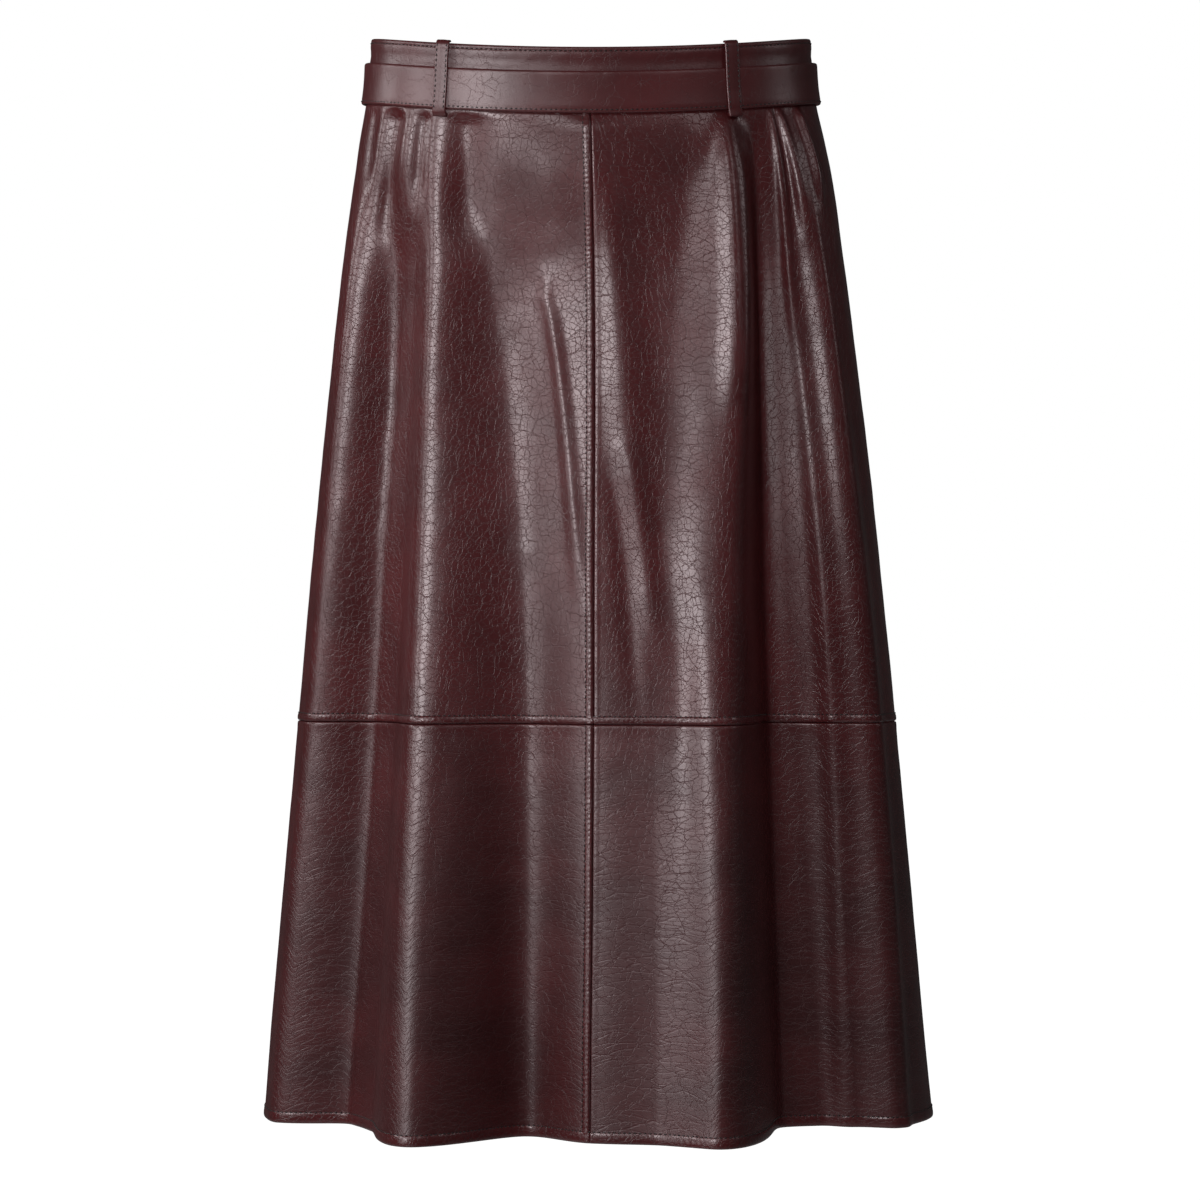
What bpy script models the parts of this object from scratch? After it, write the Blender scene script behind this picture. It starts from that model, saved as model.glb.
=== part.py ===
"""Leather A-line skirt with its own belt, worn open and hollow: panels, waistband, belt and belt loops.

Metres, +Z up.  The skirt's front looks along -Y, and left and right are as seen from the front.
The origin is the middle of the waist, halfway down the waistband at the side seams.
Tables give millimetres and degrees.  Every point of the leather is found from two numbers: its angle
round the body (0 at the centre front, +90 at the right side seam) and its drop below the top edge.
"""
from collections import namedtuple

import bpy
import numpy as np

MM = 0.001

# Driving sizes of the cut pieces, in millimetres
SKIRT_LENGTH = 752.0
YOKE_SEAM_DROP = 476.0
BAND_HEIGHT = 44.0
BAND_THICKNESS = 2.2
LEATHER_THICKNESS = 1.6
SEAM_GAP = 0.3
ORIGIN_DROP = 22.0

# Belt, in millimetres and degrees
BELT_TOP_DROP = 16.8
BELT_HEIGHT = 28.8
BELT_THICKNESS = 2.8
BELT_STANDOFF = 0.6
BELT_END_ANGLE = 190.0
BELT_LIFT_START = 155.0
BELT_LIFT_FULL = 170.0

# Belt loops
LOOP_WIDTH = 10.0
LOOP_THICKNESS = 1.6
LOOP_ANGLES = (("front_left", -40.4), ("front_right", 38.0), ("back_right", 141.0), ("back_left", 219.0))

# The waist edge sits lower at the front and a little higher at the back
WAIST_DIP_FRONT = 15.5
WAIST_RISE_BACK = 4.0
WAIST_DIP_POWER = 1.5
WAIST_DIP_HELD_TO = 60.0
WAIST_DIP_GONE_AT = 320.0

RING_STEP = 5.0
TINY_ANGLE = 1e-3

# Plain horizontal sections of the skirt: half ellipses, deeper behind than in front
Section = namedtuple("Section", "drop half_width front_depth back_depth shift")
SECTIONS = (
    Section(0.0, 153.6, 84.0, 84.0, 0.0),
    Section(45.0, 157.4, 84.5, 91.0, 0.1),
    Section(70.0, 162.2, 85.0, 96.0, 0.6),
    Section(105.0, 167.6, 85.0, 103.0, 1.3),
    Section(160.0, 174.8, 86.0, 112.0, 2.1),
    Section(250.0, 184.0, 91.0, 122.0, 2.4),
    Section(364.0, 194.8, 101.0, 132.0, 2.2),
    Section(480.0, 205.9, 114.0, 145.0, 2.5),
    Section(600.0, 217.8, 131.0, 160.0, 3.0),
    Section(SKIRT_LENGTH, 232.2, 151.0, 182.0, 3.5),
)

# Lines that run down the skirt along the crests, hollows and shoulders of its folds.  angle_* place the
# line round the body, out_* push it outwards from the plain section, steps divide the way to the next line.
FoldLine = namedtuple("FoldLine", "name angle_top angle_mid angle_hem out_top out_hip out_mid out_hem steps")
FOLD_LINES = (
    FoldLine("left_side_seam", -90, -90, -90, 0, 1, 2, 0, 4),
    FoldLine("left_side_shoulder", -75, -74, -73, -1, 1, 1, 0, 5),
    FoldLine("left_side_hollow", -55, -54, -57, -4, -20, -28, -37, 3),
    FoldLine("left_riser", -48, -47, -44, -4, -15, -21, -16, 5),
    FoldLine("left_front_ridge", -40, -37, -28, -2, -2, -2, 51, 6),
    FoldLine("left_centre_hollow", -27, -16, -12, -7, -12, -19, -23, 6),
    FoldLine("centre_front_seam", 0, 0, -1, 1, 0, 0, 11, 5),
    FoldLine("centre_shoulder", 20, 12, 9, 1, 6, 6, 22, 5),
    FoldLine("right_front_ridge", 36, 26, 18, 10, 19, 23, 52, 8),
    FoldLine("right_side_hollow", 44, 41, 41, -5, -14, -24, -46, 2),
    FoldLine("right_side_foot", 47, 45.5, 50, -3, -9, -16, -39, 3),
    FoldLine("right_side_face", 52, 52, 56, 2, 1, 0, -20, 2),
    FoldLine("right_side_ridge", 59, 60, 61, 9, 13, 16, 2, 5),
    FoldLine("right_side_seam", 90, 90, 90, 0, -3, 1, 3, 3),
    FoldLine("right_back_side_hollow", 107, 107, 105, -1, -6, -7, -10, 4),
    FoldLine("right_back_ridge", 122, 123, 126, 2, 10, 16, 30, 4),
    FoldLine("right_back_hollow", 140, 141, 143, -2, -8, -15, -30, 4),
    FoldLine("right_back_centre_ridge", 160, 161, 162, 1, 7, 12, 26, 4),
    FoldLine("centre_back_seam", 180, 180, 180, -1, -5, -10, -18, 4),
    FoldLine("left_back_centre_ridge", 202, 200, 197, 2, 9, 14, 30, 4),
    FoldLine("left_back_hollow", 220, 221, 222, -3, -10, -16, -32, 4),
    FoldLine("left_back_ridge", 238, 237, 236, 2, 10, 15, 28, 4),
    FoldLine("left_back_side_hollow", 253, 254, 256, -1, -5, -7, -8, 3),
)
FOLD_ANGLE_DROPS = (84.0, 364.0, SKIRT_LENGTH)
FOLD_OUT_DROPS = (48.0, 84.0, 154.0, 364.0, SKIRT_LENGTH)

# Drops at which the panels have a row of points
UPPER_ROWS = (BAND_HEIGHT, 50.0, 60.0, 78.0, 102.0, 135.0, 180.0, 240.0, 305.0, 364.0, 420.0,
              YOKE_SEAM_DROP)
LOWER_ROWS = (YOKE_SEAM_DROP, 526.0, 580.0, 638.0, 695.0, SKIRT_LENGTH)

# Middle line of a belt loop's strip: how far down it is and how far it stands off the skirt
LoopPoint = namedtuple("LoopPoint", "drop standoff")
LOOP_LINE = (
    LoopPoint(-1.0, 1.2),
    LoopPoint(5.0, 1.3),
    LoopPoint(10.0, 2.7),
    LoopPoint(14.0, 4.4),
    LoopPoint(18.0, 4.7),
    LoopPoint(32.0, 4.7),
    LoopPoint(45.2, 4.6),
    LoopPoint(48.6, 3.9),
    LoopPoint(50.1, 2.8),
    LoopPoint(49.5, 1.7),
    LoopPoint(47.8, 1.5),
)

# Each quarter of the skirt lies between two seams
Quarter = namedtuple("Quarter", "name first_line last_line")
QUARTERS = (
    Quarter("front_left", "left_side_seam", "centre_front_seam"),
    Quarter("front_right", "centre_front_seam", "right_side_seam"),
    Quarter("back_right", "right_side_seam", "centre_back_seam"),
    Quarter("back_left", "centre_back_seam", "left_side_seam"),
)

# Pieces of the waistband, which opens at the centre back
BandPiece = namedtuple("BandPiece", "name start_angle end_angle")
BAND_PIECES = (
    BandPiece("waistband_front", -90.0, 90.0),
    BandPiece("waistband_back_right", 90.0, 180.0),
    BandPiece("waistband_back_left", 180.0, 270.0),
)

# Colours and finish of the leather
LEATHER_COLOR = (0.085, 0.030, 0.032, 1.0)
BELT_COLOR = (0.060, 0.021, 0.023, 1.0)
LEATHER_ROUGHNESS = 0.42
SHARP_ANGLE = 40.0


def remove_all_objects():
    """Take every object out of the scene."""
    for item in list(bpy.data.objects):
        bpy.data.objects.remove(item, do_unlink=True)


def leather(name, color):
    """Return a plain leather material of one colour."""
    material = bpy.data.materials.new(name)
    material.use_nodes = True
    shader = material.node_tree.nodes["Principled BSDF"]
    shader.inputs["Base Color"].default_value = color
    shader.inputs["Roughness"].default_value = LEATHER_ROUGHNESS
    shader.inputs["Metallic"].default_value = 0.0
    return material


def smooth_through(places, values, x):
    """Read a smooth curve through the points (places, values) at x, with Hermite cubics."""
    places = np.asarray(places, float)
    values = np.asarray(values, float)
    slopes = np.gradient(values, places)
    left = np.clip(np.searchsorted(places, x) - 1, 0, len(places) - 2)
    width = places[left + 1] - places[left]
    s = np.clip((x - places[left]) / width, 0.0, 1.0)
    return hermite(s, width, values[left], values[left + 1], slopes[left], slopes[left + 1])


def hermite(s, width, start, end, start_slope, end_slope):
    """Cubic from start to end as s goes from 0 to 1, with the slopes given per unit of width."""
    return (
        (1 + 2 * s) * (1 - s) ** 2 * start
        + s * (1 - s) ** 2 * width * start_slope
        + s * s * (3 - 2 * s) * end
        + s * s * (s - 1) * width * end_slope
    )


def ease(s):
    """Smooth step from 0 to 1."""
    s = np.clip(s, 0.0, 1.0)
    return s * s * (3 - 2 * s)


def fold_angles(drop):
    """Angle of every fold line at each drop, in degrees, one row for each line."""
    return np.stack([
        smooth_through(FOLD_ANGLE_DROPS, (f.angle_top, f.angle_mid, f.angle_hem), drop)
        for f in FOLD_LINES
    ])


def fold_outs(drop):
    """Outward push of every fold line at each drop, in millimetres, one row for each line."""
    return np.stack([
        smooth_through(FOLD_OUT_DROPS, (0.0, f.out_top, f.out_hip, f.out_mid, f.out_hem), drop)
        for f in FOLD_LINES
    ])


def fold_offset(angle, drop):
    """Outward push of the folds at (angle, drop).

    Between two fold lines the push is a cubic.  Its slope is zero on a crest or a hollow, and on a
    shoulder it is the harmonic mean of the slopes on both sides, so the curve never overshoots.
    """
    angle = (angle + 90.0) % 360.0 - 90.0
    lines = fold_angles(drop)
    outs = fold_outs(drop)
    lines = np.concatenate([lines[-1:] - 360.0, lines, lines[:2] + 360.0])
    outs = np.concatenate([outs[-1:], outs, outs[:2]])
    widths = np.diff(lines, axis=0)
    rises = np.diff(outs, axis=0) / widths
    product = rises[:-1] * rises[1:]
    total = np.where(product > 0, rises[:-1] + rises[1:], 1.0)
    slopes = np.where(product > 0, 2 * product / total, 0.0)
    push = np.zeros(angle.shape)
    for k in range(1, len(FOLD_LINES) + 1):
        s = (angle - lines[k]) / widths[k]
        value = hermite(s, widths[k], outs[k], outs[k + 1], slopes[k - 1], slopes[k])
        push = np.where((s >= 0) & (s <= 1), value, push)
    return np.where(drop < FOLD_OUT_DROPS[0], 0.0, push)


def waist_dip(angle, drop):
    """How far the waist edge drops below the side seams.

    In front it grows with a power of the cosine of the angle, and behind, where the edge rises, with the
    cosine itself.  Both fade out further down the skirt.
    """
    c = np.cos(np.radians(angle))
    dip = WAIST_DIP_FRONT * np.maximum(c, 0.0) ** WAIST_DIP_POWER + WAIST_RISE_BACK * np.minimum(c, 0.0)
    held = 1 - ease((drop - WAIST_DIP_HELD_TO) / (WAIST_DIP_GONE_AT - WAIST_DIP_HELD_TO))
    return dip * held


def plan_point(angle, drop):
    """Plan position (x, y) of the skirt's outside at (angle, drop), in millimetres."""
    drops = [s.drop for s in SECTIONS]
    half_width = smooth_through(drops, [s.half_width for s in SECTIONS], drop)
    front = smooth_through(drops, [s.front_depth for s in SECTIONS], drop)
    back = smooth_through(drops, [s.back_depth for s in SECTIONS], drop)
    shift = smooth_through(drops, [s.shift for s in SECTIONS], drop)
    t = np.radians(angle)
    depth = np.where(np.cos(t) > 0, front, back)
    normal_x = depth * np.sin(t)
    normal_y = -half_width * np.cos(t)
    length = np.hypot(normal_x, normal_y)
    push = fold_offset(angle, drop)
    x = half_width * np.sin(t) + shift + push * normal_x / length
    y = -depth * np.cos(t) + push * normal_y / length
    return x, y


def plan_direction(angle, drop):
    """Outward unit normal of the section at (angle, drop) and its speed in millimetres per degree."""
    x0, y0 = plan_point(angle - TINY_ANGLE, drop)
    x1, y1 = plan_point(angle + TINY_ANGLE, drop)
    dx = x1 - x0
    dy = y1 - y0
    length = np.hypot(dx, dy)
    return dy / length, -dx / length, length / (2 * TINY_ANGLE)


def skirt_points(angle, drop, standoff):
    """Points in metres at (angle, drop), moved outwards by standoff millimetres."""
    angle, drop, standoff = np.broadcast_arrays(angle, drop, standoff)
    x, y = plan_point(angle, np.maximum(drop, 0.0))
    nx, ny, _ = plan_direction(angle, np.maximum(drop, 0.0))
    z = ORIGIN_DROP - drop - waist_dip(angle, drop)
    return np.stack([x + nx * standoff, y + ny * standoff, z], axis=-1) * MM


def wall_faces(rows, columns):
    """Faces of a closed wall: an outer grid, an inner grid of the same size and the rim between them."""
    index = np.arange(rows * columns).reshape(rows, columns)
    corners = (index[:-1, :-1], index[:-1, 1:], index[1:, 1:], index[1:, :-1])
    outer_faces = np.stack(corners, axis=-1).reshape(-1, 4)
    inner_faces = outer_faces[:, ::-1] + rows * columns
    border = np.concatenate([index[0, :-1], index[:-1, -1], index[-1, :0:-1], index[:0:-1, 0]])
    following = np.roll(border, -1)
    rim = np.stack([following, border, border + rows * columns, following + rows * columns], axis=-1)
    return np.concatenate([outer_faces, inner_faces, rim])


def add_wall(name, outer, inner, material):
    """Make one closed piece of leather from its outer and inner grids of points."""
    rows, columns = outer.shape[:2]
    points = np.concatenate([outer.reshape(-1, 3), inner.reshape(-1, 3)])
    faces = wall_faces(rows, columns)
    middle = points[faces].mean(axis=1)
    first = points[faces[:, 0]]
    area = np.cross(points[faces[:, 1]] - first, points[faces[:, 2]] - first)
    area += np.cross(points[faces[:, 2]] - first, points[faces[:, 3]] - first)
    if (middle * area).sum() < 0:
        faces = faces[:, ::-1]
    mesh = bpy.data.meshes.new(name)
    mesh.from_pydata(points.tolist(), [], faces.tolist())
    mesh.materials.append(material)
    mesh.shade_smooth()
    mesh.set_sharp_from_angle(angle=np.radians(SHARP_ANGLE))
    piece = bpy.data.objects.new(name, mesh)
    bpy.context.collection.objects.link(piece)
    return piece


def pull_in_ends(angles, drop):
    """Move the first and last column of a grid of angles in by half the seam gap."""
    for edge, side in ((0, 1.0), (-1, -1.0)):
        _, _, speed = plan_direction(angles[:, edge], drop)
        angles[:, edge] += side * SEAM_GAP / 2 / speed
    return angles


def panel_columns(first_line, last_line, drop):
    """Angles of a panel's columns between two fold lines, pulled in by half the seam gap at each end."""
    names = [f.name for f in FOLD_LINES]
    start = names.index(first_line)
    end = names.index(last_line)
    if end <= start:
        end += len(names)
    lines = fold_angles(drop)
    columns = []
    for k in range(start, end):
        here = lines[k % len(names)] + 360.0 * (k // len(names))
        there = lines[(k + 1) % len(names)] + 360.0 * ((k + 1) // len(names))
        steps = FOLD_LINES[k % len(names)].steps
        for step in range(steps):
            columns.append(here + (there - here) * step / steps)
    columns.append(lines[end % len(names)] + 360.0 * (end // len(names)))
    return pull_in_ends(np.stack(columns, axis=-1), drop)


def inset_rows(rows, top_gap, bottom_gap):
    """Copy of a list of drops with its ends pulled in by the gaps."""
    drops = np.array(rows, float)
    drops[0] += top_gap
    drops[-1] -= bottom_gap
    return drops


def make_panel(name, first_line, last_line, rows, material):
    """Cut one panel between two seams and give it the thickness of the leather."""
    drops = rows[:, None]
    angles = panel_columns(first_line, last_line, rows)
    outer = skirt_points(angles, drops, 0.0)
    inner = skirt_points(angles, drops, -LEATHER_THICKNESS)
    return add_wall(name, outer, inner, material)


def make_panels(material):
    """Make the four upper and four lower panels."""
    upper = inset_rows(UPPER_ROWS, SEAM_GAP, SEAM_GAP / 2)
    lower = inset_rows(LOWER_ROWS, SEAM_GAP / 2, 0.0)
    for quarter in QUARTERS:
        make_panel(quarter.name + "_upper", quarter.first_line, quarter.last_line, upper, material)
        make_panel(quarter.name + "_lower", quarter.first_line, quarter.last_line, lower, material)


def make_waistband(material):
    """Make the waistband in three pieces: one in front and two that meet at the centre back."""
    drops = np.array([0.0, BAND_HEIGHT / 2, BAND_HEIGHT])
    for piece in BAND_PIECES:
        ring = np.arange(piece.start_angle, piece.end_angle + RING_STEP / 2, RING_STEP)
        angles = pull_in_ends(np.tile(ring, (len(drops), 1)), drops)
        outer = skirt_points(angles, drops[:, None], 0.0)
        inner = skirt_points(angles, drops[:, None], -BAND_THICKNESS)
        add_wall(piece.name, outer, inner, material)


def make_belt(material):
    """Make the belt: a strip once round the band whose outer end laps over the inner at the back."""
    angles = np.arange(-BELT_END_ANGLE, BELT_END_ANGLE + RING_STEP / 2, RING_STEP)
    lift_share = ease((angles - BELT_LIFT_START) / (BELT_LIFT_FULL - BELT_LIFT_START))
    lift = lift_share * (BELT_THICKNESS + SEAM_GAP)
    drops = np.array([BELT_TOP_DROP, BELT_TOP_DROP + BELT_HEIGHT])[:, None]
    inner = skirt_points(angles, drops, BELT_STANDOFF + lift)
    outer = skirt_points(angles, drops, BELT_STANDOFF + BELT_THICKNESS + lift)
    add_wall("belt", outer, inner, material)


def loop_outline():
    """Drop and standoff of the outer and inner faces of a loop's strip, along its middle line."""
    drop = np.array([p.drop for p in LOOP_LINE])
    standoff = np.array([p.standoff for p in LOOP_LINE])
    run_drop = np.gradient(drop)
    run_out = np.gradient(standoff)
    length = np.hypot(run_drop, run_out)
    half = LOOP_THICKNESS / 2
    side_drop = -run_out / length * half
    side_out = run_drop / length * half
    return (drop + side_drop, standoff + side_out), (drop - side_drop, standoff - side_out)


def make_loops(material):
    """Make the belt loops: strips sewn to the band's top, over the belt and turned under below it."""
    outer_face, inner_face = loop_outline()
    for place, angle in LOOP_ANGLES:
        _, _, speed = plan_direction(np.array(angle), np.array(BELT_TOP_DROP))
        half_angle = LOOP_WIDTH / 2 / speed
        across = angle + half_angle * np.array([-1.0, 0.0, 1.0])
        outer = skirt_points(across, outer_face[0][:, None], outer_face[1][:, None])
        inner = skirt_points(across, inner_face[0][:, None], inner_face[1][:, None])
        add_wall("belt_loop_" + place, outer, inner, material)


def main():
    """Build the whole skirt."""
    remove_all_objects()
    panel_leather = leather("panel_leather", LEATHER_COLOR)
    band_leather = leather("band_leather", LEATHER_COLOR)
    belt_leather = leather("belt_leather", BELT_COLOR)
    make_panels(panel_leather)
    make_waistband(band_leather)
    make_belt(belt_leather)
    make_loops(belt_leather)


main()
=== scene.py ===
"""Finish of the belted leather skirt: creased panels, seam strips, hem, band, belt, loops and stitches.

Tables give millimetres and degrees, and meshes are in metres.  Every point of the leather is found from
its angle round the body (0 at the centre front, +90 at the right side seam, as seen from the front) and
its drop below the top edge, as in the skirt's construction.
"""
from collections import namedtuple

import bpy
import numpy as np
from bpy.props import FloatProperty, FloatVectorProperty, PointerProperty
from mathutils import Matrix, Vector


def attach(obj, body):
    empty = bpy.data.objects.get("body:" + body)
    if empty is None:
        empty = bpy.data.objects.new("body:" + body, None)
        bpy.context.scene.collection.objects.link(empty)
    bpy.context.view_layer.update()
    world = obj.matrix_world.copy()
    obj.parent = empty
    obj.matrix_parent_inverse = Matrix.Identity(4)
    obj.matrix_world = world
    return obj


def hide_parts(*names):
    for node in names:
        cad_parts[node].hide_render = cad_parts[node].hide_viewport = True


bl_info = {
    "name": "Leather Skirt",
    "version": (1, 0, 0),
    "blender": (4, 5, 0),
    "location": "View3D > Sidebar > Skirt",
    "description": "Builds a belted leather skirt piece by piece",
    "category": "Add Mesh",
}

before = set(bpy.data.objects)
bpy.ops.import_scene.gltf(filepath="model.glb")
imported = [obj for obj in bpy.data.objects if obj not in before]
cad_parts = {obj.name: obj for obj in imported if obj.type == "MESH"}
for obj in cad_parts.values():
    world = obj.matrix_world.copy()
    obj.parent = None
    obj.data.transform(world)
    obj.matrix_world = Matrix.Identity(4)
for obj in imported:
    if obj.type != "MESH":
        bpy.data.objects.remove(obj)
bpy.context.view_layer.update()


def table(columns, *rows):
    """Rows of a table, with the columns named."""
    row_type = namedtuple("Row", columns)
    return [row_type(*row) for row in rows]


MM = 0.001
ROOT = "root"
ORIGIN_DROP = 22.0
YOKE_SEAM_DROP = 476.0
SKIRT_LENGTH = 752.0
BAND_HEIGHT = 44.0
BELT_TOP_DROP = 16.8
BELT_HEIGHT = 28.8
BELT_STANDOFF = 0.6
BELT_END_ANGLE = 190.0
BELT_LIFT_START = 155.0
BELT_LIFT_FULL = 170.0
BELT_LAP_LIFT = 3.1
WAIST_DIP_FRONT = 15.5
WAIST_RISE_BACK = 4.0
WAIST_DIP_POWER = 1.5
WAIST_DIP_HELD_TO = 60.0
WAIST_DIP_GONE_AT = 320.0
TINY_ANGLE = 1e-3
LOOPS = table(
    "name angle",
    ("front_left", -40.4), ("front_right", 38.0), ("back_right", 141.0), ("back_left", 219.0),
)
SECTIONS = table(
    "drop half_width front_depth back_depth shift",
    (0.0, 153.6, 84.0, 84.0, 0.0),
    (45.0, 157.4, 84.5, 91.0, 0.1),
    (70.0, 162.2, 85.0, 96.0, 0.6),
    (105.0, 167.6, 85.0, 103.0, 1.3),
    (160.0, 174.8, 86.0, 112.0, 2.1),
    (250.0, 184.0, 91.0, 122.0, 2.4),
    (364.0, 194.8, 101.0, 132.0, 2.2),
    (480.0, 205.9, 114.0, 145.0, 2.5),
    (600.0, 217.8, 131.0, 160.0, 3.0),
    (752.0, 232.2, 151.0, 182.0, 3.5),
)

# The large folds: each line's angle at FOLD_ANGLE_DROPS and its outward push at FOLD_OUT_DROPS
FOLD_ANGLE_DROPS = (84.0, 364.0, 752.0)
FOLD_OUT_DROPS = (48.0, 84.0, 154.0, 364.0, 752.0)
FOLD_LINES = table(
    "name angle_top angle_mid angle_hem out_top out_hip out_mid out_hem",
    ("left_side_seam", -90, -90, -90, 0, 1, 2, 0),
    ("left_side_shoulder", -75, -74, -73, -1, 1, 1, 0),
    ("left_side_hollow", -55, -54, -57, -2, -17, -28, -37),
    ("left_riser", -48, -47, -44, -2, -12, -21, -16),
    ("left_front_ridge", -40, -37, -28, -1, -2, -2, 51),
    ("left_centre_hollow", -27, -16, -12, -4, -12, -19, -23),
    ("centre_front_seam", 0, 0, -1, 1, 0, 0, 11),
    ("centre_shoulder", 20, 12, 9, 1, 6, 6, 22),
    ("right_front_ridge", 36, 26, 18, 10, 19, 23, 52),
    ("right_side_hollow", 44, 41, 41, -5, -14, -24, -46),
    ("right_side_foot", 47, 45.5, 50, -3, -9, -16, -39),
    ("right_side_face", 52, 52, 56, 2, 1, 0, -20),
    ("right_side_ridge", 59, 60, 61, 9, 13, 16, 2),
    ("right_side_seam", 90, 90, 90, 0, -3, 1, 3),
    ("right_back_side_hollow", 107, 107, 105, -1, -6, -7, -10),
    ("right_back_ridge", 122, 123, 126, 2, 10, 16, 30),
    ("right_back_hollow", 140, 141, 143, -2, -8, -15, -30),
    ("right_back_centre_ridge", 160, 161, 162, 1, 7, 12, 26),
    ("centre_back_seam", 180, 180, 180, -1, -5, -10, -18),
    ("left_back_centre_ridge", 202, 200, 197, 2, 9, 14, 30),
    ("left_back_hollow", 220, 221, 222, -3, -10, -16, -32),
    ("left_back_ridge", 238, 237, 236, 2, 10, 15, 28),
    ("left_back_side_hollow", 253, 254, 256, -1, -5, -7, -8),
)
LINE_NAMES = [line.name for line in FOLD_LINES]
QUARTERS = table(
    "name first_line last_line",
    ("front_left", "left_side_seam", "centre_front_seam"),
    ("front_right", "centre_front_seam", "right_side_seam"),
    ("back_right", "right_side_seam", "centre_back_seam"),
    ("back_left", "centre_back_seam", "left_side_seam"),
)

# Small creases laid over the folds: from (angle_from, drop_from) to (angle_to, drop_to), a soft ridge if
# height is positive and a soft trough if it is negative.  width is the half width in millimetres
CREASES = table(
    "name angle_from drop_from angle_to drop_to width height",
    ("left_side_crumple", -70.5, 42, -72.0, 110, 6.0, -1.4),
    ("left_pinch_outer", -58.0, 42, -61.5, 150, 7.5, -5.0),
    ("left_pinch_inner", -46.6, 42, -47.5, 125, 6.0, -2.8),
    ("left_hollow_ramp", -51.5, 110, -54.0, 1000, 11.0, 2.6),
    ("left_edge_fold", -74.0, 300, -74.5, 1000, 10.0, 1.5),
    ("left_loop_gap", -33.5, 42, -31.5, 160, 14.0, -4.2),
    ("centre_wrinkle_left", -11.0, 180, -2.0, 420, 5.5, 2.2),
    ("centre_wrinkle_right", 2.5, 90, 8.5, 350, 13.0, 3.2),
    ("centre_wrinkle_low", 7.0, 290, 12.5, 450, 8.0, 2.2),
    ("centre_wrinkle_gap", 3.0, 310, 8.5, 500, 6.0, -1.0),
    ("right_front_dip", 16.5, 420, 14.0, 900, 18.0, -3.0),
    ("right_front_swell", 30.5, 210, 28.0, 520, 20.0, 2.0),
    ("right_loop_fold", 35.5, 48, 28.5, 320, 9.0, 4.2),
    ("right_pinch_inner", 51.4, 42, 50.4, 230, 3.4, 2.3),
    ("right_pinch_gap", 53.0, 42, 53.2, 150, 2.4, -0.8),
    ("right_pinch_outer", 54.6, 42, 56.0, 150, 3.8, 2.5),
    ("right_crumple", 64.4, 42, 61.6, 128, 3.8, 4.2),
    ("right_ripple_inner", 50.8, 170, 55.5, 1000, 8.0, 2.0),
    ("right_ripple_outer", 56.5, 140, 64.0, 1000, 9.5, 2.8),
    ("right_swing_inner", 53.0, 330, 55.5, 1000, 12.0, 3.2),
    ("right_swing_outer", 58.5, 300, 64.0, 1000, 12.5, 5.0),
    ("back_right_pinch", 128.0, 44, 124.0, 170, 4.5, 2.0),
    ("back_right_pinch_gap", 134.0, 44, 132.0, 140, 4.0, -1.3),
    ("back_right_loop_fold", 145.0, 46, 149.0, 210, 6.5, 1.8),
    ("back_right_soft", 168.0, 150, 166.0, 380, 8.0, 1.3),
    ("back_left_soft", 190.0, 120, 192.0, 350, 8.0, 1.4),
    ("back_left_loop_fold", 214.0, 46, 210.0, 190, 6.0, 1.9),
    ("back_left_pinch", 228.0, 44, 231.0, 180, 4.2, 2.1),
    ("back_left_crumple", 243.0, 44, 247.0, 110, 3.4, 1.2),
)
CREASE_END_SHARE = 0.28
CREASE_LEAD = 0.55
CREASE_TAIL = 1.6
CREASE_BEND = 0.65
CREASE_CLEAR = 1.0
CREASE_GROWTH = 9.0
SEAM_RIDGE_HEIGHT = 3.6
SEAM_RIDGE_SPREAD = 9.0
SEAM_RIDGE_GROWTH = 12.0
SEAM_RIDGE_END = 150.0

# Soft waves: height, stretch along the second direction, pitch, and seed or what is added to one
WAVES = "height stretch pitch seed"
LEATHER_WAVES = table(WAVES, (0.35, 0.45, 34.0, 3), (0.14, 1.0, 15.0, 8))
LEATHER_ROUND = 3.2
LEATHER_GROWTH = 60.0
GATHER_WAVES = table(WAVES, (1.0, 0.25, 5.5, 0), (0.6, 0.3, 2.9, 1))
GATHER_HEIGHT = 0.06
GATHER_SPREAD = 7.0
GATHER_ABOVE_STRIP = 6.0
GATHER_SEEDS = {"front_right": 21, "front_left": 23, "above": 25, "below": 27}
ROPE_WAVES = table(WAVES, (0.22, 0.1, 9.0, 0))
ROPE_STRENGTH_WAVES = table(WAVES, (0.45, 1.0, 7.0, 1))
ROPE_STRENGTH = 0.65
ROPE_PITCH = 3.45
ROPE_SLANT = 0.30
ROPE_WIDTH = 5.0
WAIST_ROUND = 2.2
BAND_WAVES = table(WAVES, (0.16, 1.3, 9.0, 0), (0.10, 1.0, 4.5, 1))
BELT_GATHER_WAVES = table(WAVES, (1.0, 0.35, 6.5, 41), (0.6, 0.5, 3.2, 42))
BELT_GATHER_HEIGHT = 0.15
BELT_GATHER_SPREAD = 9.0
BELT_WAVES = table(WAVES, (0.10, 0.8, 11.0, 43))
BELT_EDGE_WAVES = table(WAVES, (0.10, 0.6, 4.0, 44))
BELT_EDGE_SPREAD = 4.0

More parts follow.
